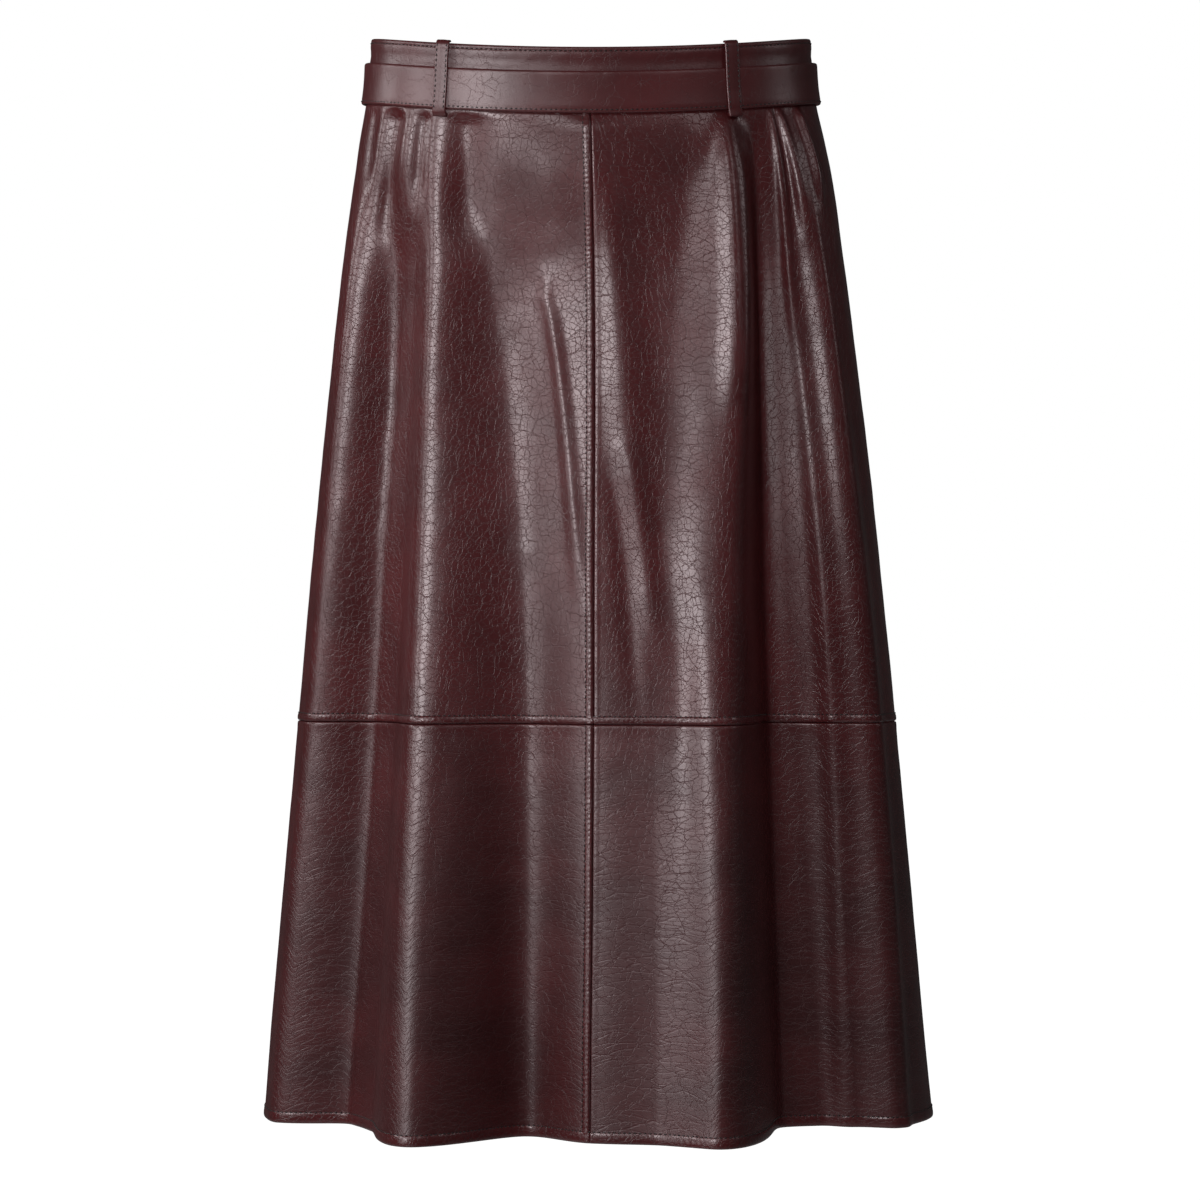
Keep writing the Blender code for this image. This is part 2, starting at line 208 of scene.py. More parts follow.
# Cross-sections carried along the seams and edges, as closed outlines.  across is measured away from the
# topstitch towards the seam or edge, or down from the top edge of the band or belt, standoff is outwards,
# and pucker is the share of the stitched wrinkles that a point takes
PROFILE = "across standoff pucker"
SEAM_STRIP = table(
    PROFILE,
    (-0.5, -0.25, 0.0), (0.1, 0.02, 0.0), (0.6, 0.34, 0.4), (1.4, 0.52, 0.9), (2.4, 0.60, 1.0),
    (3.4, 0.60, 1.0), (4.2, 0.50, 0.8), (4.75, 0.22, 0.4), (5.0, -0.30, 0.1), (5.05, -2.0, 0.0),
    (4.4, -2.1, 0.0), (2.0, -1.0, 0.0), (0.0, -0.9, 0.0),
)
HEM_FOLD = table(
    PROFILE,
    (-0.5, -0.25, 0.0), (0.1, 0.02, 0.0), (0.7, 0.30, 0.4), (1.8, 0.46, 0.9), (3.2, 0.52, 1.0),
    (4.8, 0.50, 1.0), (6.2, 0.34, 0.7), (7.1, -0.05, 0.3), (7.5, -0.70, 0.1), (7.4, -1.40, 0.0),
    (6.8, -1.95, 0.0), (5.0, -2.20, 0.2), (1.0, -2.20, 0.3), (-2.5, -2.10, 0.0), (-2.9, -1.60, 0.0),
    (-2.0, -1.00, 0.0),
)
BAND_OUTLINE = table(
    PROFILE,
    (44.0, -0.1, 0.0), (38.0, 0.0, 0.0), (30.0, 0.0, 0.0), (22.0, 0.0, 0.0), (17.0, -0.05, 0.3),
    (14.0, -0.35, 0.5), (11.5, -0.55, 0.5), (8.5, -0.25, 0.6), (6.0, 0.10, 0.8), (4.2, 0.15, 0.8),
    (3.4, 0.04, 0.4), (3.0, -0.18, 0.1), (2.6, 0.02, 0.4), (1.7, 0.10, 0.8), (0.8, -0.05, 0.6),
    (0.15, -0.50, 0.3), (0.0, -1.10, 0.0), (0.2, -1.75, 0.0), (0.9, -2.12, 0.0), (4.0, -2.20, 0.0),
    (16.0, -2.20, 0.0), (32.0, -2.20, 0.0), (44.0, -2.00, 0.0),
)
BELT_OUTLINE = table(
    PROFILE,
    (0.0, 1.4, 0.0), (0.15, 2.1, 0.3), (0.7, 2.65, 0.8), (1.6, 2.86, 1.0), (3.4, 2.86, 0.8),
    (7.0, 2.80, 0.5), (11.0, 2.74, 0.3), (15.0, 2.72, 0.2), (19.0, 2.74, 0.3), (23.0, 2.82, 0.5),
    (25.4, 2.86, 0.8), (26.2, 2.74, 0.5), (26.6, 2.74, 0.4), (27.0, 2.74, 0.5), (27.7, 2.76, 0.8),
    (28.4, 2.35, 0.5), (28.8, 1.50, 0.1), (28.6, 0.60, 0.0), (27.6, 0.05, 0.0), (15.0, 0.0, 0.0),
    (1.2, 0.05, 0.0), (0.2, 0.60, 0.0),
)

# Line of a loop from the top of the band over the belt and back under it, and its strip's outline
LOOP_LINE = table(
    "drop standoff",
    (-1.0, 1.2), (-0.9, 2.9), (0.4, 4.0), (4.0, 4.5), (9.0, 4.7), (18.0, 4.7),
    (32.0, 4.7), (45.2, 4.6), (48.6, 3.9), (50.1, 2.8), (49.5, 1.7), (47.8, 1.5),
)
LOOP_OUTLINE = table(
    "across height",
    (-5.0, -0.1), (-4.85, 0.45), (-4.4, 0.78), (-3.9, 0.80), (-3.55, 0.79), (-3.2, 0.78),
    (-1.6, 0.88), (0.0, 0.92), (1.6, 0.88), (3.2, 0.78), (3.55, 0.79), (3.9, 0.80),
    (4.4, 0.78), (4.85, 0.45), (5.0, -0.1), (4.7, -0.62), (0.0, -0.75), (-4.7, -0.62),
)
LOOP_STEPS = 90

# Flat cut of what shows of each piece, in metres: greatest width and length, and the area of a panel
FLATS = {flat.piece: flat for flat in table(
    "piece width length area",
    ("front_left_upper", 0.26, 0.44, 0.101),
    ("front_left_lower", 0.36, 0.28, 0.094),
    ("front_right_upper", 0.30, 0.44, 0.119),
    ("front_right_lower", 0.38, 0.28, 0.100),
    ("back_right_upper", 0.30, 0.44, 0.116),
    ("back_right_lower", 0.38, 0.28, 0.100),
    ("back_left_upper", 0.30, 0.44, 0.118),
    ("back_left_lower", 0.38, 0.28, 0.101),
    ("waistband_front", 0.384, 0.044, None),
    ("waistband_back_right", 0.196, 0.044, None),
    ("waistband_back_left", 0.196, 0.044, None),
    ("belt", 0.86, 0.0294, None),
    ("loop", 0.010, 0.062, None),
)}


# ---------------------------------------------------------------- sizes and colours a user may change

def length_setting(name, description, millimetres):
    """Property for a length, kept in metres."""
    return FloatProperty(name=name, description=description, default=millimetres * MM, min=0.0,
                         subtype="DISTANCE")


def colour_setting(name, description, default):
    """Property for a linear colour."""
    return FloatVectorProperty(name=name, description=description, default=default, size=3, min=0.0,
                               max=1.0, subtype="COLOR")


class SkirtSizes(bpy.types.PropertyGroup):
    """Sizes of the sewing, in metres."""
    leather: length_setting("Leather", "Thickness of the leather with its backing", 1.2)
    roll: length_setting("Edge roll", "Width over which a cut edge rolls into its seam", 0.8)
    stitch: length_setting("Stitch", "Length of one stitch and its gap", 3.45)
    thread: length_setting("Thread", "Diameter of the sewing thread", 0.85)
    strip: length_setting("Topstitch", "Distance from a seam to its topstitching", 5.6)
    hem: length_setting("Hem", "Distance from the hem's edge to its stitching", 7.5)
    pucker: length_setting("Pucker", "Height of the wrinkles that the stitching gathers", 0.065)


class SkirtColours(bpy.types.PropertyGroup):
    """Colours of the leather, its backing, the thread and the floor."""
    leather: colour_setting("Leather", "Main colour of the leather", (0.053, 0.0082, 0.0092))
    crease: colour_setting("Creases", "Colour in the cracks of the grain", (0.036, 0.0060, 0.0066))
    backing: colour_setting("Backing", "Fabric on the inside of the leather", (0.060, 0.030, 0.030))
    # The thread colour is near black: partly the thread's own dark colour, partly painted shade of the
    # stitch holes
    thread: colour_setting("Thread", "Sewing thread", (0.0045, 0.0020, 0.0022))
    floor: colour_setting("Floor", "Studio floor and backdrop", (0.90, 0.90, 0.90))


# ---------------------------------------------------------------- form of the skirt

def hermite(s, width, start, end, start_slope, end_slope):
    """Cubic from start to end as s goes from 0 to 1, with the slopes given per unit of width."""
    return (
        (1 + 2 * s) * (1 - s) ** 2 * start
        + s * (1 - s) ** 2 * width * start_slope
        + s * s * (3 - 2 * s) * end
        + s * s * (s - 1) * width * end_slope
    )


def smooth_through(places, values, x):
    """Read a smooth curve through the points (places, values) at x, with Hermite cubics."""
    places = np.asarray(places, float)
    values = np.asarray(values, float)
    slopes = np.gradient(values, places)
    left = np.clip(np.searchsorted(places, x) - 1, 0, len(places) - 2)
    width = places[left + 1] - places[left]
    s = np.clip((x - places[left]) / width, 0.0, 1.0)
    return hermite(s, width, values[left], values[left + 1], slopes[left], slopes[left + 1])


def ease(s):
    """Smooth step from 0 to 1."""
    s = np.clip(s, 0.0, 1.0)
    return s * s * (3 - 2 * s)


def bell(distance, spread):
    """Bell curve, exp(-(distance / spread) squared)."""
    return np.exp(-((distance / spread) ** 2))


def running(steps):
    """Total of the steps so far, from 0 before the first to the sum of all after the last."""
    return np.concatenate([[0.0], np.cumsum(steps)])


def turned_from(start, angle):
    """The same angle, within the full turn that starts at start."""
    return (angle - start) % 360.0 + start


def fold_angles(drop):
    """Angle of every fold line at each drop, one row for each line."""
    return np.stack([
        smooth_through(FOLD_ANGLE_DROPS, (f.angle_top, f.angle_mid, f.angle_hem), drop)
        for f in FOLD_LINES
    ])


def fold_outs(drop):
    """Outward push of every fold line at each drop, one row for each line."""
    return np.stack([
        smooth_through(FOLD_OUT_DROPS, (0.0, f.out_top, f.out_hip, f.out_mid, f.out_hem), drop)
        for f in FOLD_LINES
    ])


def fold_offset(angle, drop):
    """Push of the folds: a cubic between each two fold lines, level on crests and hollows, and on a
    shoulder with the harmonic mean of the slopes on both sides, so that it never overshoots."""
    angle = turned_from(-90.0, angle)
    lines = fold_angles(drop)
    outs = fold_outs(drop)
    lines = np.concatenate([lines[-1:] - 360.0, lines, lines[:2] + 360.0])
    outs = np.concatenate([outs[-1:], outs, outs[:2]])
    widths = np.diff(lines, axis=0)
    rises = np.diff(outs, axis=0) / widths
    product = rises[:-1] * rises[1:]
    total = np.where(product > 0, rises[:-1] + rises[1:], 1.0)
    slopes = np.where(product > 0, 2 * product / total, 0.0)
    push = np.zeros(angle.shape)
    for k in range(1, len(FOLD_LINES) + 1):
        s = (angle - lines[k]) / widths[k]
        value = hermite(s, widths[k], outs[k], outs[k + 1], slopes[k - 1], slopes[k])
        push = np.where((s >= 0) & (s <= 1), value, push)
    return np.where(drop < FOLD_OUT_DROPS[0], 0.0, push)


def waist_dip(angle, drop):
    """How far the waist edge drops below the side seams: in front as a power of the cosine of the angle,
    and behind, where it rises, in proportion to the cosine."""
    c = np.cos(np.radians(angle))
    dip = WAIST_DIP_FRONT * np.maximum(c, 0.0) ** WAIST_DIP_POWER + WAIST_RISE_BACK * np.minimum(c, 0.0)
    return dip * (1 - ease((drop - WAIST_DIP_HELD_TO) / (WAIST_DIP_GONE_AT - WAIST_DIP_HELD_TO)))


def section_at(drop):
    """Half width, front depth, back depth and sideways shift of the plain section at a drop."""
    drops, *columns = zip(*SECTIONS)
    return [smooth_through(drops, column, drop) for column in columns]


def plan_point(angle, drop):
    """Plan position (x, y) on the folds at (angle, drop): a half ellipse in front and one behind, with
    the folds' push along its normal."""
    half_width, front, back, shift = section_at(drop)
    t = np.radians(angle)
    depth = np.where(np.cos(t) > 0, front, back)
    normal_x = depth * np.sin(t)
    normal_y = -half_width * np.cos(t)
    length = np.hypot(normal_x, normal_y)
    push = fold_offset(angle, drop)
    x = half_width * np.sin(t) + shift + push * normal_x / length
    y = -depth * np.cos(t) + push * normal_y / length
    return x, y


def plan_direction(angle, drop):
    """Outward unit normal of the section at (angle, drop) and its speed in millimetres per degree."""
    x0, y0 = plan_point(angle - TINY_ANGLE, drop)
    x1, y1 = plan_point(angle + TINY_ANGLE, drop)
    dx = x1 - x0
    dy = y1 - y0
    length = np.hypot(dx, dy)
    return dy / length, -dx / length, length / (2 * TINY_ANGLE)


def soft_noise(u, v, pitch, seed):
    """Smooth unevenness from -1 to 1: seeded values on a square lattice of the given pitch, blended with
    smooth steps."""
    count = 64
    lattice = np.random.RandomState(seed).uniform(-1, 1, (count, count))
    a = u / pitch
    b = v / pitch
    i = np.floor(a).astype(int)
    j = np.floor(b).astype(int)
    s = ease(a - i)
    t = ease(b - j)
    i, i_next, j, j_next = i % count, (i + 1) % count, j % count, (j + 1) % count
    low = lattice[i, j] * (1 - s) + lattice[i_next, j] * s
    high = lattice[i, j_next] * (1 - s) + lattice[i_next, j_next] * s
    return low * (1 - t) + high * t


def soft_waves(u, v, waves, seed=0):
    """Sum of soft noises, one for each row of a table of waves."""
    return sum(w.height * soft_noise(u, v * w.stretch, w.pitch, w.seed + seed) for w in waves)


def crease_push(angle, drop):
    """Push of the small creases: each is a bell across its line, eased in and out along it."""
    angle = turned_from(-90.0, angle)
    push = np.zeros(np.broadcast(angle, drop).shape)
    for c in CREASES:
        along = (drop - c.drop_from) / (c.drop_to - c.drop_from)
        speed = speed_at((c.angle_from + c.angle_to) / 2, (c.drop_from + c.drop_to) / 2)
        line = c.angle_from + (c.angle_to - c.angle_from) * np.clip(along, 0, 1) ** CREASE_BEND
        ends = ease(along / CREASE_END_SHARE + CREASE_LEAD)
        ends = ends * ease((1 - along) / CREASE_END_SHARE / CREASE_TAIL)
        push += c.height * bell((angle - line) * speed, c.width) * ends
    return push * ease((drop - BAND_HEIGHT - CREASE_CLEAR) / CREASE_GROWTH)


def unevenness(angle, drop):
    """Gentle waves of hanging leather, and the low ridge along which the centre front seam stands proud
    below the belt.  The ridge falls off as exp(-distance / spread)."""
    below = drop - BAND_HEIGHT
    waves = soft_waves(angle * LEATHER_ROUND, drop, LEATHER_WAVES)
    ridge = SEAM_RIDGE_HEIGHT * np.exp(-np.abs(turned_from(-180.0, angle)) / SEAM_RIDGE_SPREAD)
    ridge = ridge * (1 - ease(below / (SEAM_RIDGE_END - BAND_HEIGHT)))
    return waves * ease(below / LEATHER_GROWTH) + ridge * ease(below / SEAM_RIDGE_GROWTH)


def skirt_points(angle, drop, standoff):
    """Points in metres at (angle, drop), moved outwards by standoff millimetres from the leather."""
    angle, drop, standoff = np.broadcast_arrays(angle, drop, standoff)
    held = np.maximum(drop, 0.0)
    x, y = plan_point(angle, held)
    nx, ny, _ = plan_direction(angle, held)
    out = standoff + crease_push(angle, held) + unevenness(angle, held)
    z = ORIGIN_DROP - drop - waist_dip(angle, drop)
    return np.stack([x + nx * out, y + ny * out, z], axis=-1) * MM


def speed_at(angle, drop):
    """Millimetres of leather for each degree round the body."""
    return plan_direction(np.asarray(angle, float), np.asarray(drop, float))[2]


def line_angle(name, drop):
    """Angle of one named fold line at each drop."""
    return fold_angles(drop)[LINE_NAMES.index(name)]


def quarter_lines(quarter, drop):
    """Angles of the fold lines of a quarter at each drop, one row for each line."""
    first = LINE_NAMES.index(quarter.first_line)
    last = LINE_NAMES.index(quarter.last_line)
    lines = np.concatenate([fold_angles(drop), fold_angles(drop)[:1] + 360.0])
    return lines[first:(last if last > first else len(LINE_NAMES)) + 1]


def quarter_ends(quarter, drop):
    """Angles of the two seams that bound a quarter at one drop."""
    lines = quarter_lines(quarter, np.array([drop]))
    return lines[0, 0], lines[-1, 0]


def even_angles(start, end, drop, pitch, gap=0.0):
    """Angles evenly spaced in millimetres along the leather at one drop, from start to end, keeping a
    gap in millimetres at both ends."""
    fine = np.linspace(start, end, 721)
    run = running(np.diff(fine) * speed_at((fine[1:] + fine[:-1]) / 2, drop))
    count = int(round(run[-1] / pitch))
    return np.interp(np.linspace(gap, run[-1] - gap, count), run, fine)


# ---------------------------------------------------------------- meshes

def face_grid(rows, columns):
    """Corner indices of the quads of a grid, outward for rows going down and columns to the right."""
    index = np.arange(rows * columns).reshape(rows, columns)
    corners = (index[:-1, :-1], index[1:, :-1], index[1:, 1:], index[:-1, 1:])
    return np.stack(corners, axis=-1).reshape(-1, 4)


def new_mesh(name, points, faces, materials, uvs=None, numbers=None):
    """Object from arrays: points, faces of equal size, maps taken from the points' values, and point
    attributes."""
    mesh = bpy.data.meshes.new(name)
    mesh.vertices.add(len(points))
    mesh.vertices.foreach_set("co", np.asarray(points, np.float32).ravel())
    mesh.loops.add(faces.size)
    mesh.loops.foreach_set("vertex_index", faces.ravel().astype(np.int32))
    mesh.polygons.add(len(faces))
    mesh.polygons.foreach_set("loop_start", np.arange(0, faces.size, faces.shape[1], dtype=np.int32))
    mesh.update(calc_edges=True)
    for label, values in (uvs or {}).items():
        layer = mesh.uv_layers.new(name=label)
        layer.data.foreach_set("uv", np.asarray(values, np.float32)[faces.ravel()].ravel())
    for label, values in (numbers or {}).items():
        attribute = mesh.attributes.new(label, "FLOAT", "POINT")
        attribute.data.foreach_set("value", np.asarray(values, np.float32).ravel())
    for material in materials:
        mesh.materials.append(material)
    mesh.validate()
    mesh.shade_smooth()
    piece = bpy.data.objects.new(name, mesh)
    bpy.context.scene.collection.objects.link(piece)
    return piece


def run_length(points, axis):
    """Distance run along one axis of an array of points."""
    steps = np.linalg.norm(np.diff(points, axis=axis), axis=-1)
    start = np.zeros_like(np.take(steps, [0], axis=axis))
    return np.concatenate([start, np.cumsum(steps, axis=axis)], axis=axis)


def outward(points, triangles):
    """The triangles of a closed surface, turned over if they face inwards: the sum of the products
    a . (b x c) over them is six times the volume, and negative then."""
    a, b, c = (points[triangles[:, k]] for k in range(3))
    return triangles if (a * np.cross(b, c)).sum() >= 0 else triangles[:, ::-1]


def tube_mesh(name, rings, material):
    """Closed outline carried along a path.  rings is stations x outline points x 3, and both ends get a
    fan to their middle point."""
    stations, corners = rings.shape[:2]
    index = np.arange(stations * corners).reshape(stations, corners)
    following = np.roll(index, -1, axis=1)
    sides = np.stack([index[:-1], index[1:], following[1:], following[:-1]], axis=-1).reshape(-1, 4)
    start_middle = np.full(corners, stations * corners)
    triangles = np.concatenate([
        sides[:, [0, 1, 2]],
        sides[:, [0, 2, 3]],
        np.stack([index[0], following[0], start_middle], axis=-1),
        np.stack([following[-1], index[-1], start_middle + 1], axis=-1),
    ])
    points = np.concatenate([rings.reshape(-1, 3), rings[[0, -1]].mean(axis=1)])
    along = run_length(rings, 0)[:, :1] * np.ones((1, corners))
    around = run_length(rings, 1)[:1] * np.ones((stations, 1))
    uv = np.stack([along, around], axis=-1).reshape(-1, 2)
    uv = np.concatenate([uv, uv[[0, -1]]])
    return new_mesh(name, points, outward(points, triangles), (material,), {"cloth": uv, "flow": uv})


def finish_piece(piece, nodes=()):
    """Put a piece on the skirt's body and hide the plain solids that it stands for."""
    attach(piece, ROOT)
    if nodes:
        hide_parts(*nodes)
    return piece


# ---------------------------------------------------------------- shader building

def put(tree, kind, inputs=None, **settings):
    """Add a node, set its properties, and set or link its inputs."""
    item = tree.nodes.new(kind)
    for key, value in settings.items():
        setattr(item, key, value)
    for key, value in (inputs or {}).items():
        socket = item.inputs[key]
        if isinstance(value, bpy.types.NodeSocket):
            tree.links.new(value, socket)
        else:
            socket.default_value = value
    return item


def maths(tree, operation, *values):
    """Result of a math node."""
    return put(tree, "ShaderNodeMath", dict(enumerate(values)), operation=operation).outputs[0]


def vectors(tree, operation, first, second):
    """Result of a vector math node.  The second value is a number for SCALE, and a vector otherwise."""
    inputs = {0: first, "Scale" if operation == "SCALE" else 1: second}
    return put(tree, "ShaderNodeVectorMath", inputs, operation=operation).outputs[0]


def noise(tree, place, scale, detail):
    """Outputs of a noise texture."""
    return put(tree, "ShaderNodeTexNoise", {"Vector": place, "Scale": scale, "Detail": detail}).outputs


def between(tree, value, low, high, to_low=0.0, to_high=1.0):
    """Smoothly map a value from one range to another."""
    inputs = {"Value": value, "From Min": low, "From Max": high, "To Min": to_low, "To Max": to_high}
    return put(tree, "ShaderNodeMapRange", inputs, interpolation_type="SMOOTHSTEP").outputs["Result"]


def new_group(name, inputs, outputs):
    """Empty shader group.  inputs gives each socket's default, or its kind if it has none; outputs gives
    the kinds."""
    group = bpy.data.node_groups.new(name, "ShaderNodeTree")
    for label, given in inputs.items():
        kind = given if isinstance(given, str) else "Float"
        socket = group.interface.new_socket(label, in_out="INPUT", socket_type=f"NodeSocket{kind}")
        if kind == "Float":
            socket.default_value = given
    for label, kind in outputs.items():
        group.interface.new_socket(label, in_out="OUTPUT", socket_type=f"NodeSocket{kind}")
    return group, group.nodes.new("NodeGroupInput").outputs, group.nodes.new("NodeGroupOutput").inputs


BROKEN_SOFTNESS = 0.16


def crackle_group():
    """Cracks of the grain: edges of wandering cells, broken up where a slow noise is low.  Gives the
    height (0 flat, -1 in a crack) and the mask of the cracks."""
    group, given, result = new_group(
        "leather_crackle",
        {"Place": "Vector", "Cells per metre": 80.0, "Line width": 0.06, "Wander": 0.004, "Broken": 0.5},
        {"Height": "Float", "Mask": "Float"})
    wander = noise(group, given["Place"], 130.0, 2.0)["Color"]
    moved = vectors(group, "SCALE", vectors(group, "SUBTRACT", wander, (0.5, 0.5, 0.5)), given["Wander"])
    place = vectors(group, "ADD", given["Place"], moved)
    cells = put(group, "ShaderNodeTexVoronoi", {"Vector": place, "Scale": given["Cells per metre"]},
                feature="DISTANCE_TO_EDGE", voronoi_dimensions="2D")
    line = between(group, cells.outputs["Distance"], 0.0, given["Line width"], 1.0, 0.0)
    low = maths(group, "SUBTRACT", given["Broken"], BROKEN_SOFTNESS)
    high = maths(group, "ADD", given["Broken"], BROKEN_SOFTNESS)
    kept = between(group, noise(group, given["Place"], 70.0, 2.0)["Fac"], low, high)
    mask = maths(group, "MULTIPLY", line, kept)
    group.links.new(maths(group, "MULTIPLY", mask, -1.0), result["Height"])
    group.links.new(mask, result["Mask"])
    return group


def grain_group():
    """Fine skin of the leather: tiny pores, in millimetres of height."""
    group, given, result = new_group("leather_grain", {"Place": "Vector", "Depth": 0.03},
                                     {"Height": "Float"})
    skin = noise(group, given["Place"], 650.0, 3.0)["Fac"]
    group.links.new(maths(group, "MULTIPLY", skin, given["Depth"]), result["Height"])
    return group


def tone_group():
    """Slow changes of colour: cloudy tone and darker in the cracks, with painted shade that scales the
    colour down by the given amount.
    """
    group, given, result = new_group(
        "leather_tone",
        {"Place": "Vector", "Colour": "Color", "Crack colour": "Color", "Cracks": 0.0,
         "Painted shade": 0.0},
        {"Colour": "Color"})
    cloud = noise(group, given["Place"], 18.0, 4.0)["Fac"]
    amount = between(group, cloud, 0.3, 0.7, 0.82, 1.18)
    amount = maths(group, "SUBTRACT", amount, given["Painted shade"])
    shade = vectors(group, "SCALE", given["Colour"], amount)
    deep = vectors(group, "SCALE", given["Crack colour"], given["Cracks"])
    skin = vectors(group, "SCALE", shade, maths(group, "SUBTRACT", 1.0, given["Cracks"]))
    group.links.new(vectors(group, "ADD", skin, deep), result["Colour"])
    return group


def shared(name, build, *given):
    """Node group or material made once and found by its name after that."""
    found = bpy.data.node_groups.get(name) or bpy.data.materials.get(name)
    return found or build(*given)


def effect(tree, name, build, inputs):
    """Outputs of a shared shader group, placed with its own values."""
    return put(tree, "ShaderNodeGroup", inputs, node_tree=shared(name, build)).outputs


def new_material(name):
    """Material with an empty tree, its tree, and its Principled shader joined to the output."""
    material = bpy.data.materials.new(name)
    material.use_nodes = True
    tree = material.node_tree
    tree.nodes.clear()
    shader = put(tree, "ShaderNodeBsdfPrincipled")
    put(tree, "ShaderNodeOutputMaterial", {"Surface": shader.outputs["BSDF"]})
    return material, tree, shader


def dress(tree, shader, **sockets):
    """Link or set sockets of the shader.  Underscores in their names stand for spaces."""
    for label, value in sockets.items():
        socket = shader.inputs[label.replace("_", " ")]
        if isinstance(value, bpy.types.NodeSocket):
            tree.links.new(value, socket)
        else:
            socket.default_value = value


def bump(tree, height, distance):
    """Normal of a bumpy surface whose height of 1 is the distance in metres."""
    return put(tree, "ShaderNodeBump", {"Height": height, "Distance": distance}).outputs["Normal"]


# The leathers: roughness, depth of the cracks, how much of their nets is missing, whether strokes follow
# the folds, depth of the pores, and share of the leather's colour
PANEL_LOOK, BAND_LOOK, BELT_LOOK = table(
    "name roughness depth broken strokes grain tone",
    ("creased_leather", 0.275, 0.085, 0.29, True, 0.020, 1.0),
    ("smooth_leather", 0.36, 0.060, 0.50, False, 0.030, 0.9),
    ("strap_leather", 0.34, 0.055, 0.54, False, 0.030, 1.0),
)
SHEEN_TINT = (1.0, 0.91, 0.93, 1.0)
CRACK_ROUGHNESS = 0.12

# Nets of cracks laid over each other: cells per metre, width of a line as a share of a cell, how far the
# lines wander, share of the depth, how much more of the net is missing, and where it starts
NETS = table(
    "cells line wander depth broken offset",
    (95.0, 0.022, 0.0052, 1.0, 0.00, 0.0),
    (140.0, 0.030, 0.0042, 0.9, 0.03, 0.37),
    (255.0, 0.052, 0.0026, 0.6, 0.05, 0.71),
)

# Short strokes across the folds, and what else changes towards the hem: more roughness, and painted shade
# that darkens the colour where the light falls off
STROKE_SQUEEZE = (0.36, 1.0, 1.0)
STROKES = {"Cells per metre": 215.0, "Line width": 0.11, "Wander": 0.004, "Broken": 0.45}
STROKE_DEPTH = 0.075
# Painted shade: the leather's colour is darkened by up to this share towards the hem, where the light
# falls off
LATE_PAINTED_SHADE = 0.28
LATE_ROUGHNESS = 0.115


def leather_material(look):
    """Glossy burgundy leather: three nets of cracks and fine skin as bump, short strokes across the
    folds, cloudy colour, a roughness that rises in the cracks and towards the hem, and painted shade
    that darkens the colour towards the hem."""
    colours = bpy.context.scene.skirt_colours
    material, tree, shader = new_material(look.name)
    place = put(tree, "ShaderNodeUVMap", uv_map="flow").outputs["UV"]
    height = effect(tree, "leather_grain", grain_group, {"Place": place, "Depth": look.grain})["Height"]
    cracks = 0.0
    for net in NETS:
        moved = vectors(tree, "ADD", place, (net.offset, net.offset, 0.0))
        crackle = effect(tree, "leather_crackle", crackle_group,
                         {"Place": moved, "Cells per metre": net.cells, "Line width": net.line,
                          "Wander": net.wander, "Broken": look.broken + net.broken})
        deep = maths(tree, "MULTIPLY", crackle["Height"], look.depth * net.depth)
        height = maths(tree, "ADD", height, deep)
        cracks = maths(tree, "MAXIMUM", cracks, maths(tree, "MULTIPLY", crackle["Mask"], net.depth))
    rough = between(tree, cracks, 0.0, 1.0, look.roughness, look.roughness + CRACK_ROUGHNESS)
    hem_painted_shade = 0.0
    if look.strokes:
        late = put(tree, "ShaderNodeAttribute", attribute_name="late").outputs["Fac"]
        squeezed = vectors(tree, "MULTIPLY", place, STROKE_SQUEEZE)
        stroke = effect(tree, "leather_crackle", crackle_group, {"Place": squeezed, **STROKES})["Height"]
        lines = maths(tree, "MULTIPLY", stroke, maths(tree, "MULTIPLY", late, STROKE_DEPTH))
        height = maths(tree, "ADD", height, lines)
        rough = maths(tree, "ADD", rough, maths(tree, "MULTIPLY", late, LATE_ROUGHNESS))
        # Painted shade: darker colour towards the hem, standing in for the light falling off there
        hem_painted_shade = maths(tree, "MULTIPLY", late, LATE_PAINTED_SHADE)
    tone = effect(tree, "leather_tone", tone_group,
                  {"Place": place, "Colour": (*(look.tone * c for c in colours.leather), 1.0),
                   "Crack colour": (*colours.crease, 1.0), "Cracks": cracks, "Painted shade": hem_painted_shade})
    dress(tree, shader, Base_Color=tone["Colour"], Roughness=rough, Normal=bump(tree, height, MM),
          IOR=1.5, Specular_Tint=SHEEN_TINT)
    return material


def backing_material():
    """Napped fabric glued to the inside of the leather."""
    material, tree, shader = new_material("backing_fabric")
    nap = noise(tree, put(tree, "ShaderNodeUVMap", uv_map="cloth").outputs["UV"], 900.0, 3.0)["Fac"]
    colour = vectors(tree, "SCALE", tuple(bpy.context.scene.skirt_colours.backing),
                     between(tree, nap, 0.3, 0.7, 0.7, 1.25))
    dress(tree, shader, Base_Color=colour, Normal=bump(tree, nap, 0.2 * MM), Roughness=0.9)
    return material


def edge_material():
    """Cut edge of the leather, dull and fibrous."""
    material, tree, shader = new_material("leather_edge")
    fibre = noise(tree, put(tree, "ShaderNodeTexCoord").outputs["Object"], 1500.0, 2.0)["Fac"]
    dress(tree, shader, Roughness=between(tree, fibre, 0.3, 0.7, 0.6, 0.85),
          Base_Color=(*bpy.context.scene.skirt_colours.crease, 1.0))
    return material


def thread_material():
    """Twisted sewing thread with a slight sheen; its near-black colour is partly the thread's own and
    partly painted shade of the stitch holes.
    """
    material, tree, shader = new_material("sewing_thread")
    place = put(tree, "ShaderNodeTexCoord").outputs["Object"]
    twist = put(tree, "ShaderNodeTexWave", {"Vector": place, "Scale": 900.0, "Distortion": 1.0},
                bands_direction="DIAGONAL").outputs["Fac"]
    dress(tree, shader, Normal=bump(tree, twist, 0.05 * MM), Roughness=0.5,
          Base_Color=(*bpy.context.scene.skirt_colours.thread, 1.0))
    return material


def leather(look):
    """Material of one look of the leather."""
    return shared(look.name, leather_material, look)


# ---------------------------------------------------------------- panels

